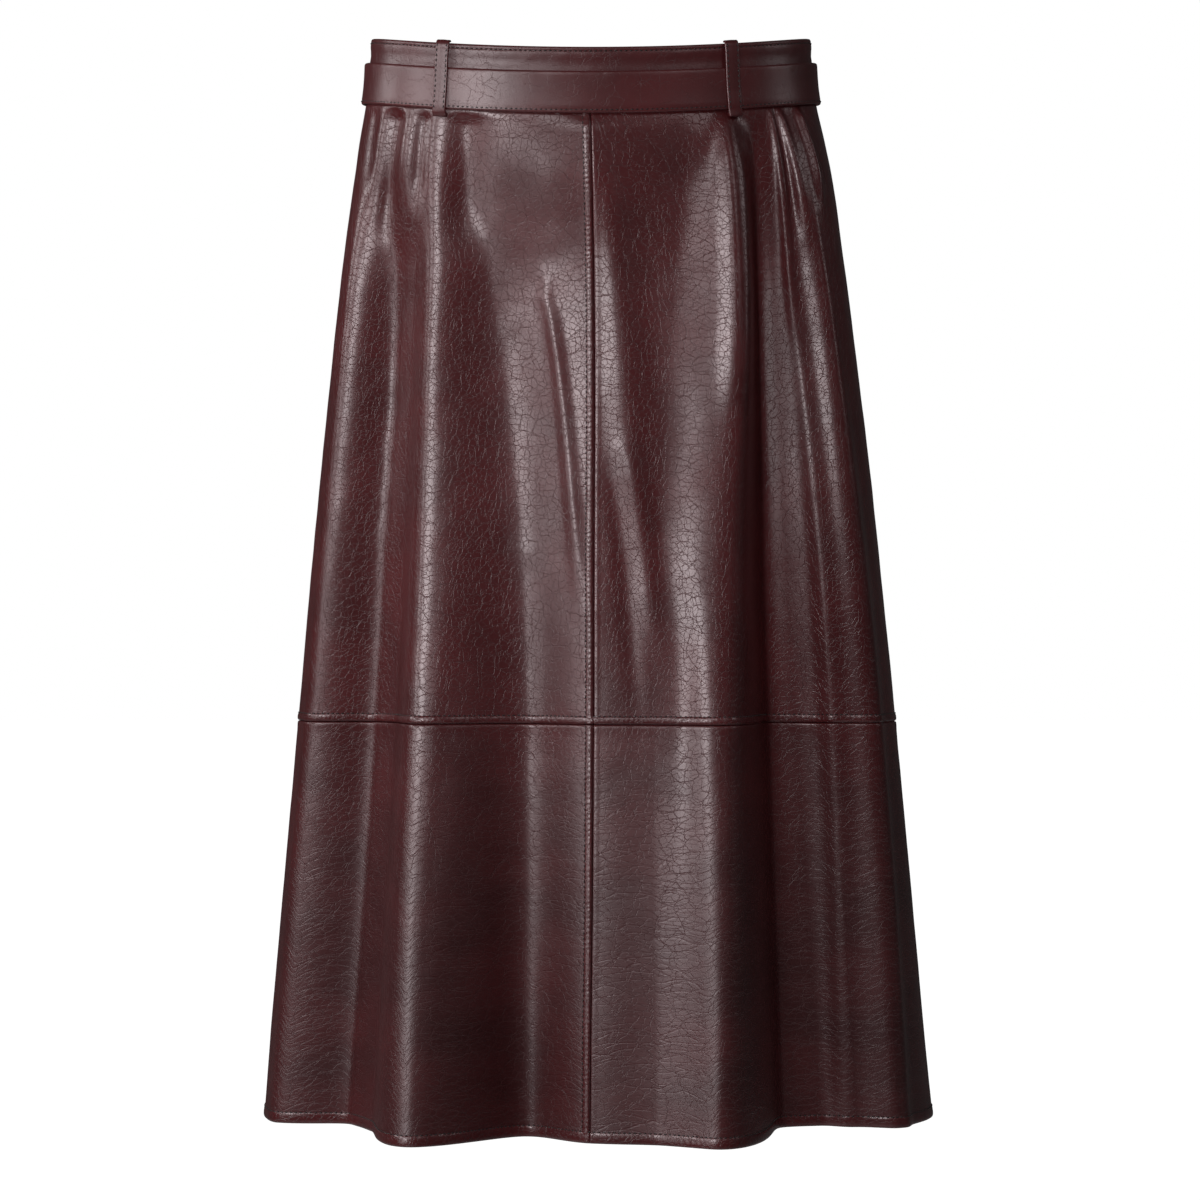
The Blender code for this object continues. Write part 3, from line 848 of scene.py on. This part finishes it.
PANEL_GRIDS = table(
    "level drop_from drop_to rows_front rows_back",
    ("upper", BAND_HEIGHT + 0.2, YOKE_SEAM_DROP, 148, 98),
    ("lower", YOKE_SEAM_DROP, SKIRT_LENGTH - 2.5, 88, 62),
)
COLUMN_PITCH_FRONT = 1.35
COLUMN_PITCH_BACK = 1.9
LEAST_COLUMNS = 4
EDGE_SHARES = np.array([0.1, 0.25, 0.5])
FAR = 1000.0
PINCH_DEPTH = 0.5
PINCH_DROP = 0.8
PINCH_SPREAD = 1.2
BULGE_HEIGHT = 0.30
BULGE_FROM_SEAM = 2.2
BULGE_SPREAD = 1.3

# The grain's own map: towards the hem it bends down by FLOW_DIP where the leather faces FLOW_FACING, and
# is stretched round the skirt by FLOW_STRETCH
FLOW_FROM = 400.0
FLOW_FULL = 620.0
FLOW_DIP = 7.0
FLOW_FACING = -25.0
FLOW_SPREAD = 18.0
FLOW_STRETCH = 0.42


def fine_ended(count):
    """Positions 0 to count, with extra ones close to both ends."""
    return np.concatenate([[0.0], EDGE_SHARES, np.arange(1, count), count - EDGE_SHARES[::-1], [count]])


def panel_angles(quarter, drops, pitch):
    """Angle of every column at each drop: the same share of the way between the same two fold lines all
    the way down, so that the columns run along the folds."""
    lines = quarter_lines(quarter, drops)
    middle = lines[:, len(drops) // 2]
    widths = np.diff(middle) * speed_at((middle[:-1] + middle[1:]) / 2, drops[len(drops) // 2])
    counts = np.maximum(np.round(widths / pitch).astype(int), LEAST_COLUMNS)
    stops = np.concatenate([[0], np.cumsum(counts)])
    positions = fine_ended(stops[-1])
    gap = np.clip(np.searchsorted(stops, positions, side="right") - 1, 0, len(counts) - 1)
    share = (positions - stops[gap]) / counts[gap]
    return lines[gap].T * (1 - share) + lines[gap + 1].T * share


def edge_roll(distance, roll):
    """Depth to which a cut edge rolls down into its seam: a quarter ellipse twice as deep as wide."""
    return -2 * roll * (1 - np.sqrt(np.clip(1 - (1 - np.clip(distance / roll, 0, 1)) ** 2, 0, 1)))


def belt_pinch(drop):
    """How far the belt pulls the leather in along its lower edge."""
    return -PINCH_DEPTH * bell(drop - BAND_HEIGHT - PINCH_DROP, PINCH_SPREAD)


def seam_bulge(distance):
    """Low ridge that runs along a seam on the side without topstitching."""
    return BULGE_HEIGHT * bell(distance - BULGE_FROM_SEAM, BULGE_SPREAD)


def seam_gather(distance, along, seed_name):
    """Puckers that run out from a stitched seam: soft waves along it, fading over a few millimetres."""
    waves = soft_waves(along, distance, GATHER_WAVES, GATHER_SEEDS[seed_name])
    return GATHER_HEIGHT * waves * np.exp(-distance / GATHER_SPREAD)


def panel_standoff(quarter, grid, angles, drop, roll):
    """How far a panel stands off the folds: rolled in at its seams, with what its sewing does to it."""
    speed = speed_at(angles, drop)
    to_first = (angles - angles[:, :1]) * speed
    to_last = (angles[:, -1:] - angles) * speed
    standoff = edge_roll(to_first, roll) + edge_roll(to_last, roll) + belt_pinch(drop)
    above = below = np.full_like(drop, FAR)
    if grid.level == "upper":
        below = grid.drop_to - drop
        standoff += edge_roll(below, roll)
    else:
        above = drop - grid.drop_from
        standoff += edge_roll(above, roll) + seam_bulge(above)
    if quarter.name == "front_right":
        standoff += seam_bulge(to_first) + seam_gather(to_first, drop, "front_right")
    if quarter.name == "front_left":
        standoff += seam_gather(to_last, drop, "front_left")
    along = angles * speed.mean(axis=1, keepdims=True)
    return standoff + (seam_gather(above, along, "above")
                       + seam_gather(below + GATHER_ABOVE_STRIP, along, "below"))


def panel_maps(points, angles, drop):
    """Flat map of a panel, the grain's own map, and how far towards the hem each point is."""
    u = run_length(points, 1)
    u = u - u[:, u.shape[1] // 2][:, None]
    v = drop * MM
    late = ease((drop - FLOW_FROM) / (FLOW_FULL - FLOW_FROM))
    nx, ny, _ = plan_direction(angles, drop)
    facing = np.degrees(np.arctan2(nx, np.abs(ny)))
    dip = FLOW_DIP * MM * bell(facing - FLOW_FACING, FLOW_SPREAD)
    cloth = np.stack([u, v], axis=-1).reshape(-1, 2)
    flow = np.stack([u * (1 - FLOW_STRETCH * late), v - late * dip], axis=-1).reshape(-1, 2)
    return {"cloth": cloth, "flow": flow}, {"late": late.ravel()}


def make_panel(quarter, grid):
    """Creased leather panel with its columns along the folds: leather outside, fabric inside, and a cut
    edge."""
    sizes = bpy.context.scene.skirt_sizes
    front = quarter.name.startswith("front")
    rows = fine_ended(grid.rows_front if front else grid.rows_back)
    drops = grid.drop_from + (grid.drop_to - grid.drop_from) * rows / rows[-1]
    angles = panel_angles(quarter, drops, COLUMN_PITCH_FRONT if front else COLUMN_PITCH_BACK)
    drop = drops[:, None] * np.ones_like(angles)
    points = skirt_points(angles, drop, panel_standoff(quarter, grid, angles, drop, sizes.roll / MM))
    uvs, numbers = panel_maps(points, angles, drop)
    name = f"{quarter.name}_{grid.level}"
    finish = (leather(PANEL_LOOK), shared("backing_fabric", backing_material),
              shared("leather_edge", edge_material))
    piece = new_mesh("leather_" + name, points.reshape(-1, 3), face_grid(*angles.shape), finish, uvs,
                     numbers)
    wall = piece.modifiers.new("wall", "SOLIDIFY")
    wall.thickness = sizes.leather
    wall.offset = -1.0
    wall.material_offset = 1
    wall.material_offset_rim = 2
    return finish_piece(piece, (name,))


# ---------------------------------------------------------------- seams and hem

STRIP_PITCH_FRONT = 0.62
STRIP_PITCH_BACK = 0.9
STRIP_GAP = 0.1
CENTRE_STRIPS = table(
    "level drop_from drop_to seed",
    ("upper", BAND_HEIGHT + 0.4, YOKE_SEAM_DROP - 0.2, 51),
    ("lower", YOKE_SEAM_DROP + 0.3, SKIRT_LENGTH - 0.6, 55),
)
CROSS_STRIP_DROP = YOKE_SEAM_DROP - 0.1
CROSS_STRIP_SEED = 61
HEM_PITCH = 0.95
HEM_GAP = 0.15
HEM_SEED = 71


def rope(along, across, seed):
    """Stitched wrinkles: slanting ridges a few millimetres apart, uneven in spacing and height."""
    phase = along / ROPE_PITCH + ROPE_SLANT * across / ROPE_WIDTH
    phase = phase + soft_waves(along, across, ROPE_WAVES, seed)
    strength = ROPE_STRENGTH + soft_waves(along, across, ROPE_STRENGTH_WAVES, seed)
    return strength * np.cos(2 * np.pi * phase)


def seam_strip(name, angles, drops, down_the_skirt, seed):
    """Raised strip between a seam and its topstitching, on the given path of the seam.  It lies to the
    viewer's left of a seam that runs down the skirt, and above one that runs round it."""
    sizes = bpy.context.scene.skirt_sizes
    across, standoff, pucker = np.array(SEAM_STRIP).T
    back = (across - sizes.strip / MM)[None, :]
    angles = angles[:, None]
    drops = drops[:, None]
    if down_the_skirt:
        around = angles + back / speed_at(angles, drops)
        down = drops
        along = drops
    else:
        around = angles
        down = drops + back
        along = angles * speed_at(angles, drops).mean()
    ridges = sizes.pucker / MM * pucker * rope(along, across[None, :], seed)
    rings = skirt_points(around, down, standoff + ridges)
    return finish_piece(tube_mesh(name, rings, leather(PANEL_LOOK)))


def hem_fold(name, angles, seed):
    """Turned-up hem: a rolled closed outline carried round the lower edge."""
    sizes = bpy.context.scene.skirt_sizes
    across, standoff, pucker = np.array(HEM_FOLD).T
    top = SKIRT_LENGTH - sizes.hem / MM
    along = angles[:, None] * speed_at(angles, np.full_like(angles, SKIRT_LENGTH)).mean()
    ridges = sizes.pucker / MM * pucker * rope(along, -across[None, :], seed)
    rings = skirt_points(angles[:, None], top + across[None, :], standoff + ridges)
    return finish_piece(tube_mesh(name, rings, leather(PANEL_LOOK)))


# ---------------------------------------------------------------- band, belt and loops

BAND_LENGTHS = table(
    "name start end seed",
    ("waistband_front", -90.0, 90.0, 31),
    ("waistband_back_right", 90.0, 180.0, 33),
    ("waistband_back_left", 180.0, 270.0, 35),
)
BAND_SPACED_AT = 20.0
BAND_PITCH = 1.5
BAND_GAP = 0.15
BELT_SPACED_AT = 32.0
BELT_PITCH = 1.1


def band_piece(length):
    """Length of the waistband: its closed outline carried round the waist."""
    across, standoff, pucker = np.array(BAND_OUTLINE).T
    angles = even_angles(length.start, length.end, BAND_SPACED_AT, BAND_PITCH, BAND_GAP)[:, None]
    waves = soft_waves(angles * WAIST_ROUND, across, BAND_WAVES, length.seed)
    rings = skirt_points(angles, np.minimum(across, BAND_HEIGHT)[None, :], standoff + pucker * waves)
    piece = tube_mesh("leather_" + length.name, rings, leather(BAND_LOOK))
    return finish_piece(piece, (length.name,))


def belt_lift(angle):
    """How far the belt's outer end lies over its inner end."""
    return BELT_LAP_LIFT * ease((angle - BELT_LIFT_START) / (BELT_LIFT_FULL - BELT_LIFT_START))


def belt_points(angle, across, standoff):
    """Points on the belt: across is measured down from its top edge and standoff out from its inside."""
    return skirt_points(angle, BELT_TOP_DROP + across, BELT_STANDOFF + standoff + belt_lift(angle))


def belt_ring():
    """Belt: its closed outline carried round the band and past itself at the back."""
    across, standoff, pucker = np.array(BELT_OUTLINE).T
    angles = even_angles(-BELT_END_ANGLE, BELT_END_ANGLE, BELT_SPACED_AT, BELT_PITCH)[:, None]
    along = angles * WAIST_ROUND
    gathers = BELT_GATHER_HEIGHT * soft_waves(along, across, BELT_GATHER_WAVES)
    waves = gathers * np.exp(-across / BELT_GATHER_SPREAD) + soft_waves(along, across, BELT_WAVES)
    edge = soft_waves(along, across, BELT_EDGE_WAVES) * np.exp((across - BELT_HEIGHT) / BELT_EDGE_SPREAD)
    rings = belt_points(angles, across[None, :], standoff + pucker * (waves + edge))
    return finish_piece(tube_mesh("leather_belt", rings, leather(BELT_LOOK)), ("belt",))


def loop_path():
    """Finely stepped line of a belt loop: drop, standoff, and its outward normal in that plane."""
    drops, standoffs = np.array(LOOP_LINE).T
    knots = running(np.hypot(np.diff(drops), np.diff(standoffs)))
    places = np.linspace(0.0, knots[-1], LOOP_STEPS)
    drop = smooth_through(knots, drops, places)
    standoff = smooth_through(knots, standoffs, places)
    drop_step = np.gradient(drop)
    out_step = np.gradient(standoff)
    length = np.hypot(drop_step, out_step)
    return drop, standoff, -out_step / length, drop_step / length


def loop_points(angle, across, height):
    """Points on a loop: across is measured to the right of its middle line and height out from it."""
    drop, standoff, normal_drop, normal_out = (a[:, None] for a in loop_path())
    turned = angle + across / speed_at(angle, np.maximum(drop, 0.0))
    return skirt_points(turned, drop + normal_drop * height, standoff + normal_out * height)


def belt_loop(loop):
    """Belt loop: a stitched strip, turned under at its foot and caught in the top of the band."""
    across, height = np.array(LOOP_OUTLINE).T[:, None]
    piece = tube_mesh(f"leather_loop_{loop.name}", loop_points(loop.angle, across, height),
                      leather(BELT_LOOK))
    return finish_piece(piece, (f"belt_loop_{loop.name}",))


# ---------------------------------------------------------------- stitching

STITCH_RINGS = table("along radius sink", (-0.72, 0.8, 0.5), (0.0, 1.0, 0.0), (0.72, 0.8, 0.5))
STITCH_SIDES = 5
STITCH_FILL = 0.66
STITCH_TIP_SINK = 1.2
STITCH_LOOK_AHEAD = 0.2 * MM
STITCH_PATH_PITCH = 1.0
SEAM_STITCH_STANDOFF = 0.28
SEAM_STITCH_GAP = 0.1
CENTRE_STITCH_FROM = BAND_HEIGHT + 3.0
CENTRE_STITCH_TO = SKIRT_LENGTH - 8.0
BAND_STITCH_DROP = 3.0
BAND_STITCH_STANDOFF = 0.14
BAND_STITCH_GAP = 0.2
BELT_STITCH_ACROSS = 26.6
BELT_STITCH_STANDOFF = 2.90
BELT_STITCH_END_ANGLE = BELT_END_ANGLE - 1.0
BELT_STITCH_SPACED_AT = 40.0
LOOP_STITCH_ACROSS = np.array([[-3.55, 3.55]])
LOOP_STITCH_HEIGHT = 0.98
LOOP_STITCH_STEPS = slice(6, -12)


def stitch_run(places, raised):
    """Points of stitches set along a path: a short capsule for each, three five-sided rings and two
    tips, with its ends sunk into the leather.  raised is the path moved outwards."""
    sizes = bpy.context.scene.skirt_sizes
    run = running(np.linalg.norm(np.diff(places, axis=0), axis=1))
    count = max(int(run[-1] / sizes.stitch), 1)
    at = (np.arange(count) + 0.5) * run[-1] / count
    centre, ahead, normal = (
        np.stack([np.interp(x, run, values[:, k]) for k in range(3)], axis=1)
        for x, values in ((at, places), (at + STITCH_LOOK_AHEAD, places), (at, raised - places))
    )
    tangent = ahead - centre
    tangent = tangent / np.maximum(np.linalg.norm(tangent, axis=1, keepdims=True), 1e-9)
    normal = normal - (normal * tangent).sum(axis=1, keepdims=True) * tangent
    normal = normal / np.linalg.norm(normal, axis=1, keepdims=True)
    half = tangent[:, None] * (sizes.stitch * STITCH_FILL / 2)
    up = normal[:, None] * (sizes.thread / 2)
    side = np.cross(tangent, normal)[:, None] * (sizes.thread / 2)
    turns = (np.arange(STITCH_SIDES) * 2 * np.pi / STITCH_SIDES)[None, :, None]
    wheel = up * np.cos(turns) + side * np.sin(turns)
    centre = centre[:, None]
    rings = [centre + half * ring.along - up * ring.sink + wheel * ring.radius for ring in STITCH_RINGS]
    tip = up * STITCH_TIP_SINK
    return np.concatenate([centre - half - tip, *rings, centre + half - tip], axis=1)


def stitch_faces():
    """Triangles of one stitch."""
    here = np.arange(STITCH_SIDES)
    following = (here + 1) % STITCH_SIDES
    first = np.zeros(STITCH_SIDES, int)
    faces = [np.stack([first, 1 + following, 1 + here], axis=1)]
    starts = 1 + STITCH_SIDES * np.arange(len(STITCH_RINGS) + 1)
    for a, b in zip(starts[:-2], starts[1:-1]):
        faces.append(np.stack([a + here, a + following, b + following], axis=1))
        faces.append(np.stack([a + here, b + following, b + here], axis=1))
    faces.append(np.stack([starts[-2] + here, starts[-2] + following, first + starts[-1]], axis=1))
    return np.concatenate(faces)


def stitch_piece(name, runs):
    """One piece for all the stitches of the given runs, each a path and the same path moved outwards."""
    stitches = np.concatenate([stitch_run(path, raised) for path, raised in runs])
    count, corners = stitches.shape[:2]
    joined = (stitch_faces()[None] + (np.arange(count) * corners)[:, None, None]).reshape(-1, 3)
    points = stitches.reshape(-1, 3)
    thread = shared("sewing_thread", thread_material)
    return finish_piece(new_mesh(name, points, outward(points, joined), (thread,)))


def skirt_run(angles, drops, standoff):
    """Path on the leather and the same path one millimetre further out."""
    return skirt_points(angles, drops, standoff), skirt_points(angles, drops, standoff + 1.0)


def ring_run(gap, spaced_at, drop, standoff):
    """Path right round the skirt from the left side seam, with a gap in degrees at both ends."""
    angles = even_angles(-90.0 + gap, 270.0 - gap, spaced_at, STITCH_PATH_PITCH)
    return skirt_run(angles, drop, standoff)


def belt_run():
    """Path of the stitches along the belt's lower edge."""
    angles = even_angles(-BELT_STITCH_END_ANGLE, BELT_STITCH_END_ANGLE, BELT_STITCH_SPACED_AT,
                         STITCH_PATH_PITCH)
    return [belt_points(angles, BELT_STITCH_ACROSS, BELT_STITCH_STANDOFF + out) for out in (0.0, 1.0)]


def centre_run(strip):
    """Path of the topstitching beside the centre front seam."""
    down = np.arange(CENTRE_STITCH_FROM, CENTRE_STITCH_TO, STITCH_PATH_PITCH)
    seam = line_angle("centre_front_seam", down)
    return skirt_run(seam - strip / speed_at(seam, down), down, SEAM_STITCH_STANDOFF)


def loop_runs():
    """Paths of the stitches along both edges of every loop."""
    runs = []
    for loop in LOOPS:
        low, high = (loop_points(loop.angle, LOOP_STITCH_ACROSS, LOOP_STITCH_HEIGHT + out)
                     for out in (0.0, 1.0))
        runs += [(low[LOOP_STITCH_STEPS, k], high[LOOP_STITCH_STEPS, k]) for k in range(2)]
    return runs


# ---------------------------------------------------------------- operators

class SKIRT_OT_seams(bpy.types.Operator):
    """Raised strips along the centre front seam and the cross seam"""
    bl_idname = "skirt.seams"
    bl_label = "Seam Strips"

    def execute(self, context):
        for strip in CENTRE_STRIPS:
            drops = np.arange(strip.drop_from, strip.drop_to, STRIP_PITCH_FRONT)
            seam_strip(f"seam_strip_centre_{strip.level}", line_angle("centre_front_seam", drops), drops,
                       True, strip.seed)
        for index, quarter in enumerate(QUARTERS):
            pitch = STRIP_PITCH_FRONT if quarter.name.startswith("front") else STRIP_PITCH_BACK
            angles = even_angles(*quarter_ends(quarter, YOKE_SEAM_DROP), YOKE_SEAM_DROP, pitch, STRIP_GAP)
            seam_strip(f"seam_strip_cross_{quarter.name}", angles,
                       np.full_like(angles, CROSS_STRIP_DROP), False, CROSS_STRIP_SEED + 2 * index)
        return {"FINISHED"}


class SKIRT_OT_hem(bpy.types.Operator):
    """Turned-up hem of each lower panel"""
    bl_idname = "skirt.hem"
    bl_label = "Hem"

    def execute(self, context):
        for index, quarter in enumerate(QUARTERS):
            ends = quarter_ends(quarter, SKIRT_LENGTH)
            angles = even_angles(*ends, SKIRT_LENGTH, HEM_PITCH, HEM_GAP)
            hem_fold(f"hem_fold_{quarter.name}", angles, HEM_SEED + 2 * index)
        return {"FINISHED"}


class SKIRT_OT_panels(bpy.types.Operator):
    """The eight leather panels, with their creases"""
    bl_idname = "skirt.panels"
    bl_label = "Panels"

    def execute(self, context):
        for quarter in QUARTERS:
            for grid in PANEL_GRIDS:
                piece = make_panel(quarter, grid)
        return {"FINISHED"}


class SKIRT_OT_waistband(bpy.types.Operator):
    """Waistband: one length in front and two behind, meeting at the centre back"""
    bl_idname = "skirt.waistband"
    bl_label = "Waistband"

    def execute(self, context):
        for length in BAND_LENGTHS:
            band_piece(length)
        return {"FINISHED"}


class SKIRT_OT_belt(bpy.types.Operator):
    """Belt, with its ends lapped at the centre back"""
    bl_idname = "skirt.belt"
    bl_label = "Belt"

    def execute(self, context):
        belt_ring()
        return {"FINISHED"}


class SKIRT_OT_loops(bpy.types.Operator):
    """Four belt loops"""
    bl_idname = "skirt.loops"
    bl_label = "Belt Loops"

    def execute(self, context):
        for loop in LOOPS:
            belt_loop(loop)
        return {"FINISHED"}


class SKIRT_OT_stitching(bpy.types.Operator):
    """Topstitching of the band, belt, loops, seams and hem"""
    bl_idname = "skirt.stitching"
    bl_label = "Stitching"

    def execute(self, context):
        strip = context.scene.skirt_sizes.strip / MM
        hem = context.scene.skirt_sizes.hem / MM
        pieces = (
            ("band", "band_leather",
             [ring_run(BAND_STITCH_GAP, BAND_STITCH_DROP, BAND_STITCH_DROP, BAND_STITCH_STANDOFF)]),
            ("belt", "belt_leather", [belt_run()]),
            ("centre_seam", "panel_leather", [centre_run(strip)]),
            ("cross_seam", "panel_leather",
             [ring_run(SEAM_STITCH_GAP, YOKE_SEAM_DROP, YOKE_SEAM_DROP - strip, SEAM_STITCH_STANDOFF)]),
            ("hem", "panel_leather",
             [ring_run(SEAM_STITCH_GAP, SKIRT_LENGTH, SKIRT_LENGTH - hem, SEAM_STITCH_STANDOFF)]),
            ("loops", "belt_leather", loop_runs()),
        )
        for name, slot, runs in pieces:
            stitch_piece(f"stitches_{name}", runs)
        return {"FINISHED"}


# ---------------------------------------------------------------- stage

AIM = (0.0, 0.0, -0.30)
LAMPS = table(
    "name azimuth height distance width tall power shadows",
    ("key", 36.0, 0.55, 1.8, 0.56, 0.60, 17.0, False),
    ("left", 64.0, 0.64, 1.8, 0.50, 0.60, 9.5, True),
    ("low_left", 52.0, 0.02, 1.8, 0.50, 0.45, 2.4, False),
    ("side_left", 92.0, 0.75, 1.7, 0.45, 0.70, 8.0, True),
    ("front", 14.0, 1.00, 1.7, 0.40, 0.60, 5.0, True),
    ("fill_right", -30.0, 1.20, 1.7, 0.40, 0.80, 3.2, True),
    ("side_right", -80.0, 0.90, 1.7, 0.40, 0.80, 2.5, True),
)
CAMERA_PLACE = (0.0063, -3.0, -0.370)
CAMERA_LENS = 128.6
CAMERA_SENSOR = 36.0
CAMERA_REACH = 200.0
FLOOR_HEIGHT = -1.30
FLOOR_HALF = 30.0
WORLD_LIGHT = 0.05
WHITE = (1.0, 1.0, 1.0, 1.0)


def add_floor(colours):
    """Pale floor, which the camera sees as plain white."""
    material, tree, shader = new_material("studio_floor")
    dust = put(tree, "ShaderNodeTexNoise", {"Scale": 3.0}).outputs["Fac"]
    dress(tree, shader, Base_Color=(*colours.floor, 1.0), Emission_Strength=1.0,
          Emission_Color=put(tree, "ShaderNodeLightPath").outputs["Is Camera Ray"],
          Roughness=between(tree, dust, 0.0, 1.0, 0.85, 0.95))
    h = FLOOR_HALF
    points = np.array([(x, y, FLOOR_HEIGHT) for x, y in ((-h, -h), (h, -h), (h, h), (-h, h))])
    new_mesh("floor", points, np.array([[0, 1, 2, 3]]), (material,))


def add_lamp(lamp):
    """Soft rectangular lamp that faces the skirt.  azimuth is degrees to the viewer's left."""
    light = bpy.data.lights.new(lamp.name, "AREA")
    light.shape = "RECTANGLE"
    light.size = lamp.width
    light.size_y = lamp.tall
    light.energy = lamp.power
    light.use_shadow = lamp.shadows
    piece = bpy.data.objects.new(lamp.name, light)
    turn = np.radians(lamp.azimuth)
    piece.location = (-lamp.distance * np.sin(turn), -lamp.distance * np.cos(turn), AIM[2] + lamp.height)
    piece.rotation_euler = (Vector(AIM) - piece.location).to_track_quat("-Z", "Y").to_euler()
    piece.visible_camera = False
    bpy.context.scene.collection.objects.link(piece)


def add_world(scene):
    """Faint even light, which the camera sees as plain white."""
    scene.world = bpy.data.worlds.new("studio")
    scene.world.use_nodes = True
    sky = scene.world.node_tree
    sky.nodes.clear()
    seen = put(sky, "ShaderNodeLightPath").outputs["Is Camera Ray"]
    lit, shown = (put(sky, "ShaderNodeBackground", {"Color": WHITE, "Strength": strength}).outputs[0]
                  for strength in (WORLD_LIGHT, 1.0))
    mixed = put(sky, "ShaderNodeMixShader", {0: seen, 1: lit, 2: shown}).outputs[0]
    put(sky, "ShaderNodeOutputWorld", {"Surface": mixed})


def add_camera(scene):
    """Camera in front of the skirt, level, at mid height."""
    camera = bpy.data.objects.new("camera", bpy.data.cameras.new("camera"))
    camera.data.lens = CAMERA_LENS
    camera.data.sensor_width = CAMERA_SENSOR
    camera.data.clip_end = CAMERA_REACH
    camera.location = CAMERA_PLACE
    camera.rotation_euler = (np.pi / 2, 0.0, 0.0)
    scene.collection.objects.link(camera)
    scene.camera = camera


class SKIRT_OT_stage(bpy.types.Operator):
    """Pale floor, soft lamps and the camera"""
    bl_idname = "skirt.stage"
    bl_label = "Stage"

    def execute(self, context):
        add_floor(context.scene.skirt_colours)
        for lamp in LAMPS:
            add_lamp(lamp)
        add_world(context.scene)
        add_camera(context.scene)
        context.scene.view_settings.view_transform = "Standard"
        return {"FINISHED"}


class SKIRT_PT_build(bpy.types.Panel):
    """Buttons that build the skirt, in the order in which they are needed"""
    bl_idname = "SKIRT_PT_build"
    bl_label = "Leather Skirt"
    bl_space_type = "VIEW_3D"
    bl_region_type = "UI"
    bl_category = "Skirt"

    def draw(self, context):
        for settings in (context.scene.skirt_sizes, context.scene.skirt_colours):
            for name in settings.bl_rna.properties.keys():
                if name not in ("rna_type", "name"):
                    self.layout.prop(settings, name)
        for operator in OPERATORS:
            self.layout.operator(operator.bl_idname)


SETTINGS = (SkirtSizes, SkirtColours)
OPERATORS = (SKIRT_OT_seams, SKIRT_OT_hem, SKIRT_OT_waistband, SKIRT_OT_panels, SKIRT_OT_belt,
             SKIRT_OT_loops, SKIRT_OT_stitching, SKIRT_OT_stage)


def register():
    """Make the settings, operators and panel known to Blender."""
    for item in SETTINGS + OPERATORS + (SKIRT_PT_build,):
        bpy.utils.register_class(item)
    bpy.types.Scene.skirt_sizes = PointerProperty(type=SkirtSizes)
    bpy.types.Scene.skirt_colours = PointerProperty(type=SkirtColours)


def unregister():
    """Take them away again."""
    del bpy.types.Scene.skirt_sizes
    del bpy.types.Scene.skirt_colours
    for item in reversed(SETTINGS + OPERATORS + (SKIRT_PT_build,)):
        bpy.utils.unregister_class(item)


def main():
    """Build everything in order."""
    register()
    for operator in OPERATORS:
        group, name = operator.bl_idname.split(".")
        result = getattr(getattr(bpy.ops, group), name)()
        if result != {"FINISHED"}:
            raise RuntimeError(f"{operator.bl_label} did not finish")


if __name__ == "__main__":
    main()
